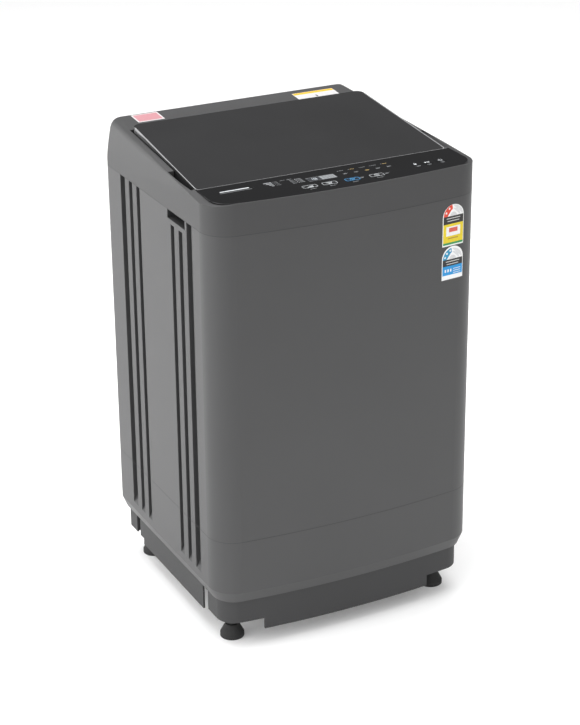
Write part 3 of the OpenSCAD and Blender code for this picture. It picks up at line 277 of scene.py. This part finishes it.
def make_materials():
    """One finish for each material slot of the record."""
    return {
        "cabinet_steel": paint("titanium_paint", (0.046, 0.046, 0.047), 0.46, vary=0.03, grain=1400,
                               bump=0.05, metal=0.05, coat=0.05, coat_rough=0.4),
        "cover_plastic": paint("titanium_plastic", (0.043, 0.043, 0.044), 0.50, vary=0.03, grain=1900,
                               bump=0.09, metal=0.05),
        "base_plastic": paint("base_moulding", (0.027, 0.027, 0.028), 0.58, vary=0.05, grain=1500, bump=0.16),
        "zinc_steel": paint("zinc_plate", (0.52, 0.53, 0.54), 0.34, vary=0.12, grain=260, bump=0.05, metal=1,
                            cloud=30),
        "rear_steel": paint("coated_rear_sheet", (0.42, 0.43, 0.43), 0.38, vary=0.08, grain=500, bump=0.05,
                            metal=0.85, cloud=22),
        "grey_plastic": paint("dark_grey_plastic", (0.075, 0.077, 0.08), 0.5, vary=0.05, grain=1500,
                              bump=0.15),
        "screw_steel": paint("bright_steel", (0.56, 0.56, 0.57), 0.26, vary=0.06, grain=700, bump=0.05,
                             metal=1),
        "pipe_plastic": paint("pipe_plastic", (0.42, 0.43, 0.43), 0.45, vary=0.04, grain=1200, bump=0.08),
        "black_plastic": paint("black_plastic", (0.012, 0.012, 0.013), 0.4, vary=0.15, grain=1600, bump=0.12),
        "fascia_film": paint("panel_film", (0.006, 0.006, 0.0065), 0.16, vary=0.1, grain=420, bump=0.006,
                             coat=0.15, coat_rough=0.06, specular=0.35),
        "blue_key": paint("blue_key_film", (0.010, 0.016, 0.028), 0.18, vary=0.1, grain=420, bump=0.006,
                          coat=0.4),
        "window_plastic": paint("display_lens", (0.26, 0.27, 0.28), 0.14, vary=0.05, grain=300, bump=0.004,
                                coat=0.5),
        "board": paint("circuit_board", (0.012, 0.09, 0.035), 0.4, vary=0.25, grain=600, bump=0.2, cloud=90),
        "white_plastic": paint("white_plastic", (0.74, 0.75, 0.75), 0.36, vary=0.03, grain=900, bump=0.05),
        "ring_plastic": paint("pale_grey_plastic", (0.60, 0.63, 0.66), 0.3, vary=0.03, grain=900, bump=0.04),
        "basket_steel": paint("brushed_basket_steel", (0.60, 0.61, 0.62), 0.28, vary=0.05, grain=300,
                              bump=0.10, metal=1, stretch=(1, 1, 26)),
        "energy_print": paint("label_film_white", (0.80, 0.80, 0.79), 0.35, vary=0.02, grain=700, bump=0.02),
        "water_print": paint("label_film_pale", (0.80, 0.80, 0.80), 0.35, vary=0.02, grain=700, bump=0.02),
        "foot_rubber": paint("foot_rubber", (0.016, 0.016, 0.016), 0.72, vary=0.15, grain=900, bump=0.25),
        "tinted_glass": tinted_glass("tinted_glass"),
        "cast_alloy": paint("cast_alloy", (0.50, 0.51, 0.52), 0.48, vary=0.08, grain=380, bump=0.25,
                            metal=0.95),
        "motor_steel": paint("motor_enamel", (0.16, 0.165, 0.17), 0.38, vary=0.06, grain=700, bump=0.08,
                             metal=0.4),
        "belt_rubber": paint("belt_rubber", (0.018, 0.018, 0.018), 0.65, vary=0.15, grain=800, bump=0.3),
    }


PRINTS = {}


def ink(name, colour, roughness=0.4):
    """Printed ink with a fine screen grain."""
    if name not in PRINTS:
        PRINTS[name] = paint(name, colour, roughness, vary=0.05, grain=1800, bump=0.05, cloud=300)
    return PRINTS[name]


# ---------------------------------------------------------------- mesh helpers
def finish_piece(name, shape, material, body, bevel=0.0, smooth=True):
    """Turns a bmesh into a piece that rides on a body."""
    bmesh.ops.recalc_face_normals(shape, faces=shape.faces)
    mesh = bpy.data.meshes.new(name)
    shape.to_mesh(mesh)
    shape.free()
    piece = bpy.data.objects.new(name, mesh)
    bpy.context.scene.collection.objects.link(piece)
    piece.data.materials.append(material)
    if bevel:
        rounding = piece.modifiers.new("rounding", "BEVEL")
        rounding.width = bevel
        rounding.segments = 2
        rounding.limit_method = "ANGLE"
        rounding.angle_limit = math.radians(35)
    if smooth:
        mesh.shade_smooth()
        mesh.set_sharp_from_angle(angle=math.radians(35))
    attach(piece, body)
    return piece


def prism(shape, points, place, low, high):
    """Adds a closed prism: points are (u, v), and place(u, v, w) gives the point in space."""
    lower = [shape.verts.new(place(u, v, low)) for u, v in points]
    upper = [shape.verts.new(place(u, v, high)) for u, v in points]
    shape.faces.new(lower[::-1])
    shape.faces.new(upper)
    for k in range(len(points)):
        n = (k + 1) % len(points)
        shape.faces.new((lower[k], lower[n], upper[n], upper[k]))


def ring_prism(shape, outer, inner, place, low, high):
    """Adds a closed frame between two loops that have the same number of points."""
    loops = [[shape.verts.new(place(u, v, w)) for u, v in loop] for loop, w in
             ((outer, low), (outer, high), (inner, high), (inner, low))]
    count = len(outer)
    for k in range(count):
        n = (k + 1) % count
        for a, b in ((0, 1), (1, 2), (2, 3), (3, 0)):
            shape.faces.new((loops[a][k], loops[a][n], loops[b][n], loops[b][k]))


def rectangle(x, y, w, d):
    return [(x - w / 2, y - d / 2), (x + w / 2, y - d / 2), (x + w / 2, y + d / 2), (x - w / 2, y + d / 2)]


def rounded(x, y, w, d, r, steps=4):
    points = []
    for cx, cy, start in ((x + w / 2 - r, y + d / 2 - r, 0), (x - w / 2 + r, y + d / 2 - r, 90),
                          (x - w / 2 + r, y - d / 2 + r, 180), (x + w / 2 - r, y - d / 2 + r, 270)):
        for k in range(steps + 1):
            a = math.radians(start + 90 * k / steps)
            points.append((cx + r * math.cos(a), cy + r * math.sin(a)))
    return points


def disc(x, y, r, steps=16, start=0.0, sweep=360.0):
    turns = steps if sweep >= 360 else steps + 1
    return [(x + r * math.cos(math.radians(start + sweep * k / steps)),
             y + r * math.sin(math.radians(start + sweep * k / steps))) for k in range(turns)]


def stroke(points, width):
    """Outline of a line of that width drawn through the points."""
    left = []
    right = []
    for k, (x, y) in enumerate(points):
        x0, y0 = points[max(0, k - 1)]
        x1, y1 = points[min(len(points) - 1, k + 1)]
        length = math.hypot(x1 - x0, y1 - y0)
        nx = -(y1 - y0) / length * width / 2
        ny = (x1 - x0) / length * width / 2
        left.append((x + nx, y + ny))
        right.append((x - nx, y - ny))
    return left + right[::-1]


# ---------------------------------------------------------------- CAD nodes keep their shape and get a finish
def dress_nodes(materials):
    slots = {part["node"]: part["material_slot"] for part in frame["record"]["subparts"]}
    soft_edges = {"top_cover": 1.2, "base_frame": 1.2, "lid_glass": 0.8, "control_fascia": 0.25,
                  "detergent_drawer": 0.6, "drawer_housing": 0.6, "service_cover": 0.8,
                  "balance_ring": 1.0, "tub_cover": 0.6, "outer_tub": 0.8, "cord_gland": 0.5,
                  "drain_pipe": 0.4, "inlet_valve": 0.6, "pulsator": 1.2, "drain_actuator": 0.8,
                  "pressure_sensor": 0.8, "lid_frame": 0.6, "motor_stator": 0.8, "drive_bracket": 0.4,
                  "clutch_housing": 0.5}
    for name, obj in nodes.items():
        material = materials[slots[name]]
        obj.data.materials.clear()
        obj.data.materials.append(material)
        if name in soft_edges:
            weld = obj.modifiers.new("weld", "WELD")
            weld.merge_threshold = 0.00002
            rounding = obj.modifiers.new("rounding", "BEVEL")
            rounding.width = soft_edges[name] * MM
            rounding.segments = 2
            rounding.limit_method = "ANGLE"
            rounding.angle_limit = math.radians(32)
            if name in ("top_cover", "base_frame"):
                even = obj.modifiers.new("even_shading", "WEIGHTED_NORMAL")
                even.mode = "FACE_AREA"
                even.weight = 80


# ---------------------------------------------------------------- control panel
def panel_place(u, v, w):
    return (u, v, panel_h + w)


def print_group(name, outlines, material, body="case", thick=0.12, rings=(), base=0.02):
    shape = bmesh.new()
    for points in outlines:
        prism(shape, points, panel_place, base * MM, (base + thick) * MM)
    for outer, inner in rings:
        ring_prism(shape, outer, inner, panel_place, base * MM, (base + thick) * MM)
    return finish_piece(name, shape, material, body, smooth=False)


def frame_ring(x, y, w, d, r, line):
    return rounded(x, y, w, d, r), rounded(x, y, w - 2 * line, d - 2 * line, r - line)


def make_panel():
    white = ink("panel_print_white", (0.62, 0.64, 0.66))
    grey = ink("panel_print_grey", (0.30, 0.31, 0.32))
    blue = ink("panel_print_blue", (0.07, 0.32, 0.62))
    amber = ink("panel_print_amber", (0.60, 0.42, 0.16))
    key_top = 0.42
    for key, body in (("level_key", "key_level"), ("process_key", "key_process"),
                      ("program_key", "key_program"), ("timer_key", "key_timer")):
        low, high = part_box(key)
        x = (low.x + high.x) / 2
        y = (low.y + high.y) / 2
        w = high.x - low.x
        d = high.y - low.y
        colour = blue if key == "program_key" else white
        glyph = []
        rings = [frame_ring(x, y, w - 2.4 * MM, d - 2.4 * MM, 3 * MM, 0.6 * MM)]
        if key == "level_key":
            for k in range(4):
                tall = (1.6 + 1.6 * k) * MM
                glyph.append(rectangle(x - 5 * MM + 3.2 * k * MM, y - (3.2 - 0.8 * k) * MM, 2 * MM, tall))
        elif key == "process_key":
            for k in range(3):
                glyph.append(rectangle(x, y + (3 - 3 * k) * MM, (12 - 3 * k) * MM, 1.1 * MM))
        elif key == "program_key":
            rings.append((disc(x, y, 4.6 * MM), disc(x, y, 3.9 * MM)))
            chevron = [(x - 1.6 * MM, y - 2.2 * MM), (x + 2.4 * MM, y), (x - 1.6 * MM, y + 2.2 * MM)]
            glyph.append(stroke(chevron, 0.9 * MM))
        else:
            rings.append((disc(x, y, 4.4 * MM), disc(x, y, 3.8 * MM)))
            glyph.append(stroke([(x, y + 2.8 * MM), (x, y), (x + 2.2 * MM, y)], 0.7 * MM))
        print_group(key + "_print", glyph, colour, body, rings=rings, base=key_top)
    for key, body in (("start_key", "key_start"), ("power_key", "key_power")):
        low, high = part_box(key)
        x = (low.x + high.x) / 2
        y = (low.y + high.y) / 2
        if key == "power_key":
            arc = [(x + 3.6 * MM * math.sin(math.radians(a)), y + 3.6 * MM * math.cos(math.radians(a)))
                   for a in range(40, 321, 20)]
            glyph = [stroke(arc, 0.8 * MM), rectangle(x, y + 2.8 * MM, 0.8 * MM, 4 * MM)]
        else:
            glyph = [[(x - 4 * MM, y - 3 * MM), (x, y), (x - 4 * MM, y + 3 * MM)],
                     rectangle(x + 1.8 * MM, y, 1 * MM, 6 * MM), rectangle(x + 4.2 * MM, y, 1 * MM, 6 * MM)]
        print_group(key + "_print", glyph, white, body, base=key_top)
    make_panel_icons(white, grey, amber)
    make_display()
    # Painted highlight: a pale strip laid along the control panel's rear edge, standing in for the light that
    # edge catches.
    edge = rectangle((fascia_low.x + fascia_high.x) / 2, fascia_high.y - 0.7 * MM,
                     fascia_high.x - fascia_low.x - 8 * MM, 0.9 * MM)
    print_group("panel_rear_edge_highlight", [edge], ink("edge_highlight_ink", (0.26, 0.26, 0.265), 0.3))


def make_panel_icons(white, grey, amber):
    """Small marks between the keys: a gauge, lists, dots and bars, with no lettering."""
    marks = []
    rings = []
    dim = []
    warm = []
    for k in range(4):
        marks.append(rectangle((-128 + 1.2 * k) * MM, y_front + (86 - 6 * k) * MM, (15 - 3.4 * k) * MM,
                               1.3 * MM))
        dim.append(rectangle(-112 * MM, y_front + (86 - 6 * k) * MM, 5 * MM, 0.8 * MM))
        dim.append(disc(-117 * MM, y_front + (86 - 6 * k) * MM, 0.7 * MM))
    for k in range(2):
        dim.append(rectangle((-98 + 13 * k) * MM, y_front + 87 * MM, 9 * MM, 0.8 * MM))
    for k in range(4):
        dim.append(rectangle(-84 * MM, y_front + (80 - 5.5 * k) * MM, 8 * MM, 0.9 * MM))
        dim.append(rectangle(-69 * MM, y_front + (82 - 6 * k) * MM, 9 * MM, 1.1 * MM))
        marks.append(disc(-76 * MM, y_front + (82 - 6 * k) * MM, 0.8 * MM))
    for row in range(2):
        for k in range(5):
            x = (18 + 22 * k) * MM
            y = y_front + (86 - 17 * row) * MM
            group = warm if (k + 2 * row) % 3 == 1 else dim
            group.append(rectangle(x, y, 9 * MM, 0.8 * MM))
            if row == 0:
                dim.append(disc(x - 7 * MM, y, 0.8 * MM))
            else:
                group.append(rectangle(x - 1 * MM, y - 2.4 * MM, 6 * MM, 0.7 * MM))
    for x in (-70, -31, 14, 63):
        dim.append(rectangle(x * MM, y_front + 22 * MM, 12 * MM, 0.8 * MM))
    for x in (34, 84):
        dim.append(rectangle(x * MM, y_front + 37 * MM, 8 * MM, 0.9 * MM))
        dim.append(rectangle((x - 1) * MM, y_front + 34.4 * MM, 6 * MM, 0.8 * MM))
    x = 153 * MM
    y = y_front + 57 * MM
    marks.append(rectangle(x, y - 1.5 * MM, 5 * MM, 4 * MM))
    rings.append((disc(x, y + 1.8 * MM, 2.2 * MM), disc(x, y + 1.8 * MM, 1.6 * MM)))
    for x in (153, 176, 204):
        dim.append(rectangle(x * MM, y_front + 45 * MM, 9 * MM, 0.8 * MM))
        dim.append(rectangle(x * MM, y_front + 42.6 * MM, 6 * MM, 0.7 * MM))
    marks.append(rectangle(-194 * MM, y_front + 80 * MM, 56 * MM, 3.2 * MM))
    dim.append(rectangle(-194 * MM, y_front + 73 * MM, 62 * MM, 0.9 * MM))
    print_group("panel_icons", marks, white, rings=rings)
    print_group("panel_icons_dim", dim, grey)
    print_group("panel_icons_amber", warm, amber)


def segment_digit(x, y, height, lit):
    """Seven-segment digit: lit names the segments from a to g."""
    w = height * 0.5
    t = height * 0.11
    places = {"a": (0, 1, 1), "g": (0, 0, 1), "d": (0, -1, 1), "f": (-1, 0.5, 0), "b": (1, 0.5, 0),
              "e": (-1, -0.5, 0), "c": (1, -0.5, 0)}
    out = []
    for name in lit:
        u, v, flat = places[name]
        cx = x + u * w / 2
        cy = y + v * height / 2
        out.append(rectangle(cx, cy, w * 0.8 if flat else t, t if flat else height * 0.4))
    return out


def make_display():
    dark = ink("display_dark_print", (0.035, 0.037, 0.042), 0.2)
    lit = ink("display_segments", (0.50, 0.53, 0.56), 0.25)
    top = window_high.z - panel_h
    x0 = window_low.x + 3 * MM
    x1 = window_high.x - 3 * MM
    mid = (window_low.y + window_high.y) / 2
    base = top / MM + 0.02
    split = x0 + (x1 - x0) * 0.47
    print_group("display_left_half", [rectangle((x0 + split) / 2, mid, split - x0, 17 * MM)], dark,
                base=base)
    digits = segment_digit(x0 + 7 * MM, mid, 9 * MM, "bc")
    digits += segment_digit(x0 + 15 * MM, mid, 9 * MM, "abcdefg")
    print_group("display_digits", digits, lit, base=base + 0.12)
    bars = [rectangle(split + (6 + 6 * (k % 4)) * MM, mid + (4.5 - 4.5 * (k // 4)) * MM, 4 * MM, 0.8 * MM)
            for k in range(12)]
    print_group("display_marks", bars, dark, base=base)


# ---------------------------------------------------------------- labels on the front
def front_patch(shape, points, low, high):
    prism(shape, points, lambda u, v, w: (u, front_y(u, w), v), low, high)


def split_wide(points, step=4 * MM):
    """Adds points along long edges so that a patch follows the bowed front."""
    out = []
    for k, (x, z) in enumerate(points):
        nx, nz = points[(k + 1) % len(points)]
        parts = max(1, round(abs(nx - x) / step))
        for j in range(parts):
            out.append((x + (nx - x) * j / parts, z + (nz - z) * j / parts))
    return out


def label_piece(name, patches, material, level):
    shape = bmesh.new()
    for points in patches:
        front_patch(shape, split_wide(points), (0.36 + level * 0.06) * MM, (0.42 + level * 0.06) * MM)
    bmesh.ops.triangulate(shape, faces=[f for f in shape.faces if len(f.verts) > 4])
    return finish_piece(name, shape, material, "case", smooth=False)


def dome_sector(x, z, r_out, r_in, start, sweep, steps=10):
    outer = disc(x, z, r_out, steps, start, sweep)
    inner = disc(x, z, r_in, steps, start, sweep)
    return outer + inner[::-1]


def star(x, z, r):
    return [(x + (r if k % 2 == 0 else r * 0.45) * math.cos(math.radians(90 + 36 * k)),
             z + (r if k % 2 == 0 else r * 0.45) * math.sin(math.radians(90 + 36 * k))) for k in range(10)]


def block(x0, z0, x1, z1):
    """Upright rectangle between two corners."""
    return [(x0, z0), (x1, z0), (x1, z1), (x0, z1)]


def make_label(node, field, arc, stars, patch):
    """A generic rating sticker: a dome with an arc of stars, a dark band, a coloured field and a strip."""
    low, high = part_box(node)
    x0 = low.x + 1.5 * MM
    x1 = high.x - 1.5 * MM
    xm = (x0 + x1) / 2
    r = (x1 - x0) / 2
    z0 = low.z + 1.5 * MM
    zc = high.z - 1.5 * MM - r
    band_high = zc + (2 if patch else -1) * MM
    band_low = band_high - (15 if patch else 13) * MM
    strip = z0 + (5 if patch else 7) * MM
    white = ink("label_white", (0.78, 0.78, 0.77))
    dark = ink("label_dark", (0.012, 0.012, 0.012))
    label_piece(node + "_band", [block(x0, band_low, x1, band_high)], dark, 0)
    label_piece(node + "_field", [block(x0, strip, x1, band_low)], field, 0)
    label_piece(node + "_arc", [dome_sector(xm, band_high, r * 0.98, r * 0.60, 98, 82)], arc, 0)
    label_piece(node + "_scale", [dome_sector(xm, band_high, r * 0.94, r * 0.90, 4, 88),
                                  dome_sector(xm, band_high, r * 0.66, r * 0.63, 4, 88),
                                  dome_sector(xm, band_high, r * 0.34, r * 0.31, 8, 164)],
                ink("label_faint", (0.62, 0.62, 0.63)), 0)
    label_piece(node + "_stars", [star(xm + r * 0.79 * math.cos(math.radians(a)),
                                       band_high + r * 0.79 * math.sin(math.radians(a)), 2.6 * MM)
                                  for a in stars], white, 1)
    lines = [block(x0 + (7 + 2 * k) * MM, band_high - (5 + 5 * k) * MM, x1 - (7 + 2 * k) * MM,
                   band_high - (3.6 + 5 * k) * MM) for k in range(2)]
    label_piece(node + "_rules", lines, ink("label_pale", (0.55, 0.55, 0.54)), 1)
    if patch:
        box_low = strip + (band_low - strip) * 0.36
        box_high = strip + (band_low - strip) * 0.86
        patch_low = box_low + (box_high - box_low) * 0.40
        patch_high = box_low + (box_high - box_low) * 0.86
        label_piece(node + "_box", [block(x0 + 6.5 * MM, box_low, x1 - 6.5 * MM, box_high)], white, 1)
        label_piece(node + "_patch", [block(xm - 9.5 * MM, patch_low, xm + 9.5 * MM, patch_high)],
                    ink("label_red", (0.62, 0.10, 0.07)), 2)
        label_piece(node + "_note", [block(x0 + 11 * MM, box_low - 6 * MM, x1 - 11 * MM, box_low - 3.4 * MM)],
                    ink("label_ochre", (0.42, 0.26, 0.02)), 1)
        label_piece(node + "_strip", [block(x0, z0 + 1 * MM, x1, strip)],
                    ink("label_green", (0.02, 0.26, 0.07)), 1)
    else:
        bars = [block(x0 + (5 + 6 * k) * MM, strip + 6 * MM, x0 + (8 + 6 * k) * MM, band_low - 6 * MM)
                for k in range(3)]
        bars += [block(xm + 2 * MM, band_low - (7 + 4 * k) * MM, x1 - 4 * MM, band_low - (6 + 4 * k) * MM)
                 for k in range(3)]
        label_piece(node + "_bars", bars, white, 1)


def make_rim_sticker(name, corners, border, fields):
    """A small sticker on the rear strip of the top cover: corners are front left and rear right in plan."""
    (x0, y0), (x1, y1) = corners

    def place(u, v, w):
        return (u, v, rim_z(v) + w)

    shape = bmesh.new()
    outline = rounded((x0 + x1) / 2, (y0 + y1) / 2, x1 - x0, y1 - y0, 1.5 * MM)
    prism(shape, outline, place, 0.01 * MM, 0.16 * MM)
    finish_piece(name, shape, border, "case", smooth=False)
    for number, (points, material) in enumerate(fields):
        shape = bmesh.new()
        for box_points in points:
            prism(shape, box_points, place, 0.16 * MM, 0.22 * MM)
        finish_piece(f"{name}_print_{number}", shape, material, "case", smooth=False)


def make_stickers():
    make_label("energy_label", ink("label_yellow", (0.70, 0.54, 0.01)),
               ink("label_red_arc", (0.68, 0.05, 0.02)), (122, 156), True)
    make_label("water_label", ink("label_blue", (0.005, 0.27, 0.62)),
               ink("label_teal_arc", (0.01, 0.26, 0.46)), (108, 136, 164), False)
    white = ink("sticker_white", (0.50, 0.49, 0.49))
    pink = ink("sticker_pink", (0.42, 0.20, 0.22))
    y0 = lid_y1 + 36 * MM
    y1 = y0 + 40 * MM
    x0 = -half_w + 58 * MM
    make_rim_sticker("rear_left_sticker", ((x0, y0), (x0 + 54 * MM, y1)), white,
                     [([rectangle(x0 + 27 * MM, (y0 + y1) / 2, 48 * MM, 33 * MM)], pink)])
    y0 = lid_y1 + 20 * MM
    y1 = y0 + 42 * MM
    x0 = half_w - 148 * MM
    make_rim_sticker("rear_right_sticker", ((x0, y0), (x0 + 88 * MM, y1)), white,
                     [([rectangle(x0 + 44 * MM, y1 - 5.5 * MM, 86 * MM, 9 * MM)],
                       ink("sticker_amber", (0.62, 0.36, 0.02))),
                      ([rectangle(x0 + (22 + 44 * k) * MM, y0 + (6 + 4.5 * j) * MM, 34 * MM, 1 * MM)
                        for k in range(2) for j in range(5)], ink("label_grey", (0.45, 0.45, 0.46))),
                      ([rectangle(x0 + 42 * MM, y0 + 16 * MM, 3 * MM, 10 * MM)],
                       ink("label_dark", (0.012, 0.012, 0.012)))])


# ---------------------------------------------------------------- cabinet details
def band(name, z_low, z_high, out_low, out_high, material, body, rear=False):
    """A thin strip that follows the cabinet's front and sides, and its rear where asked."""
    outer = body_outline(out_high)
    inner = body_outline(out_low)
    shape = bmesh.new()
    keep = range(0, len(outer)) if rear else range(14, len(outer) - 14)
    loops = []
    for points, z in ((outer, z_low), (outer, z_high), (inner, z_high), (inner, z_low)):
        loops.append([shape.verts.new((points[k][0], points[k][1], z)) for k in keep])
    count = len(loops[0])
    for k in range(count - 1):
        for a, b in ((0, 1), (1, 2), (2, 3), (3, 0)):
            shape.faces.new((loops[a][k], loops[a][k + 1], loops[b][k + 1], loops[b][k]))
    for k in (0, count - 1):
        shape.faces.new([loops[a][k] for a in range(4)])
    return finish_piece(name, shape, material, body)


def make_lid_edge_highlight():
    """Painted highlight: a pale line laid along the glass edge, round the front and the sides of the lid,
    standing in for the light that edge catches.
    """
    highlight_ink = ink("edge_highlight_ink", (0.26, 0.26, 0.265), 0.3)
    half_front = glass_high.x
    half_rear = half_front - 10 * MM
    lean = (half_front - half_rear) / (lid_y1 - lid_y0)
    r = 9 * MM
    steps = 6
    left = []
    for k in range(14):
        y = lid_y1 - 16 * MM - (lid_y1 - lid_y0 - 26 * MM) * k / 13
        left.append((-(half_front - lean * (y - lid_y0)), y))
    for k in range(1, steps + 1):
        a = math.pi + math.pi / 2 * k / steps
        left.append((-half_front + r + r * math.cos(a), lid_y0 + r + r * math.sin(a)))
    right = [(-x, y) for x, y in left[::-1]]
    line = left + right
    shape = bmesh.new()
    loops = [[], [], [], []]
    for k, (x, y) in enumerate(line):
        x0, y0 = line[max(0, k - 1)]
        x1, y1 = line[min(len(line) - 1, k + 1)]
        length = math.hypot(x1 - x0, y1 - y0)
        nx = -(y1 - y0) / length
        ny = (x1 - x0) / length
        for loop, inward, lift in ((0, 0.0, -0.9), (1, 0.0, 0.35), (2, 1.7, 0.35), (3, 1.7, -0.9)):
            px = x + nx * (inward + 0.05) * MM
            py = y + ny * (inward + 0.05) * MM
            loops[loop].append(shape.verts.new((px, py, lid_z(py) + lift * MM)))
    for k in range(len(line) - 1):
        for a, b in ((0, 1), (1, 2), (2, 3), (3, 0)):
            shape.faces.new((loops[a][k], loops[a][k + 1], loops[b][k + 1], loops[b][k]))
    for k in (0, len(line) - 1):
        shape.faces.new([loops[a][k] for a in range(4)])
    finish_piece("lid_edge_highlight", shape, highlight_ink, "lid")


# ---------------------------------------------------------------- basket with its drain holes
def make_basket(materials):
    """Steel basket wall with rows of drain holes in a slightly bulged sheet."""
    rows_gap = 15.5 * MM
    columns = 84
    z0 = basket_low.z
    z1 = basket_high.z
    rows = round((z1 - z0 - 40 * MM) / rows_gap)
    first = z0 + 28 * MM
    wall = 0.6 * MM
    hole = 1.9 * MM
    corners = 8
    shape = bmesh.new()

    def at(angle, z, r):
        return (r * math.cos(angle), tub_y + r * math.sin(angle), z)

    turn = 2 * math.pi / columns
    half = turn / 2

    def bulge(z):
        t = (z - z0) / (z1 - z0)
        return 1.2 * MM * (1 - abs(2 * t - 1) ** 6)

    inner_r = basket_r - wall
    grids = []
    for row in range(rows + 1):
        z = first + rows_gap * row
        grids.append([shape.verts.new(at(turn * c, z, inner_r - bulge(z))) for c in range(columns)])
    for row in range(rows):
        z = first + rows_gap * (row + 0.5)
        for c in range(columns):
            n = (c + 1) % columns
            square = [grids[row][c], grids[row][n], grids[row + 1][n], grids[row + 1][c]]
            angle = turn * (c + 0.5)
            shift = (half * 0.5 if row % 2 else -half * 0.5)
            ring = []
            for k in range(corners):
                a = math.radians(225 + 360 / corners * k)
                ring.append(shape.verts.new(at(angle + shift + hole / basket_r * math.cos(a),
                                               z + hole * math.sin(a), inner_r - bulge(z) + 0.25 * MM)))
            for side in range(4):
                a = ring[2 * side]
                b = ring[2 * side + 1]
                d = ring[(2 * side + 2) % corners]
                shape.faces.new((square[side], square[(side + 1) % 4], d, b, a))
    lower = [shape.verts.new(at(turn * c, z0 + 1 * MM, inner_r - 0.2 * MM)) for c in range(columns)]
    upper = [shape.verts.new(at(turn * c, z1 - 1 * MM, inner_r - 0.2 * MM)) for c in range(columns)]
    for c in range(columns):
        n = (c + 1) % columns
        shape.faces.new((lower[c], lower[n], grids[0][n], grids[0][c]))
        shape.faces.new((grids[rows][c], grids[rows][n], upper[n], upper[c]))
    basket = finish_piece("basket_perforated_wall", shape, materials["basket_steel"], "basket")
    thick = basket.modifiers.new("sheet", "SOLIDIFY")
    thick.thickness = 0.5 * MM
    thick.offset = 1
    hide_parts("basket_wall")
    make_lint_filters(materials)


def make_lint_filters(materials):
    """Two lint boxes on the basket wall, each a frame with a slotted cover."""
    for number, side in enumerate((90, 270)):
        angle = math.radians(side)

        def place(u, v, w, angle=angle):
            r = basket_r - 3.2 * MM - w
            a = angle + u / basket_r
            return (r * math.cos(a), tub_y + r * math.sin(a), basket_low.z + 200 * MM + v)

        shape = bmesh.new()
        ring_prism(shape, rounded(0, 0, 84 * MM, 150 * MM, 14 * MM), rounded(0, 0, 68 * MM, 134 * MM, 8 * MM),
                   place, 0, 13 * MM)
        for k in range(11):
            prism(shape, rectangle(0, (-58 + 11.6 * k) * MM, 72 * MM, 4 * MM), place, 5 * MM, 9 * MM)
        prism(shape, rectangle(0, 0, 6 * MM, 136 * MM), place, 5.5 * MM, 11 * MM)
        finish_piece(f"lint_filter_{number + 1}", shape, materials["ring_plastic"], "basket",
                     bevel=1.0 * MM)


# ---------------------------------------------------------------- build
make_camera()
make_studio()
materials = make_materials()
dress_nodes(materials)
make_panel()
make_stickers()
seam_ink = ink("seam_shadow", (0.02, 0.02, 0.021), 0.6)
band("lower_seam_line", lower_seam_h, lower_seam_h + 0.7 * MM, -0.2 * MM, 0.08 * MM, seam_ink, "case")
band("upper_seam_line", seam_h - 0.5 * MM, seam_h + 0.3 * MM, -0.3 * MM, 0.06 * MM, seam_ink, "case",
     rear=True)
make_lid_edge_highlight()
make_basket(materials)
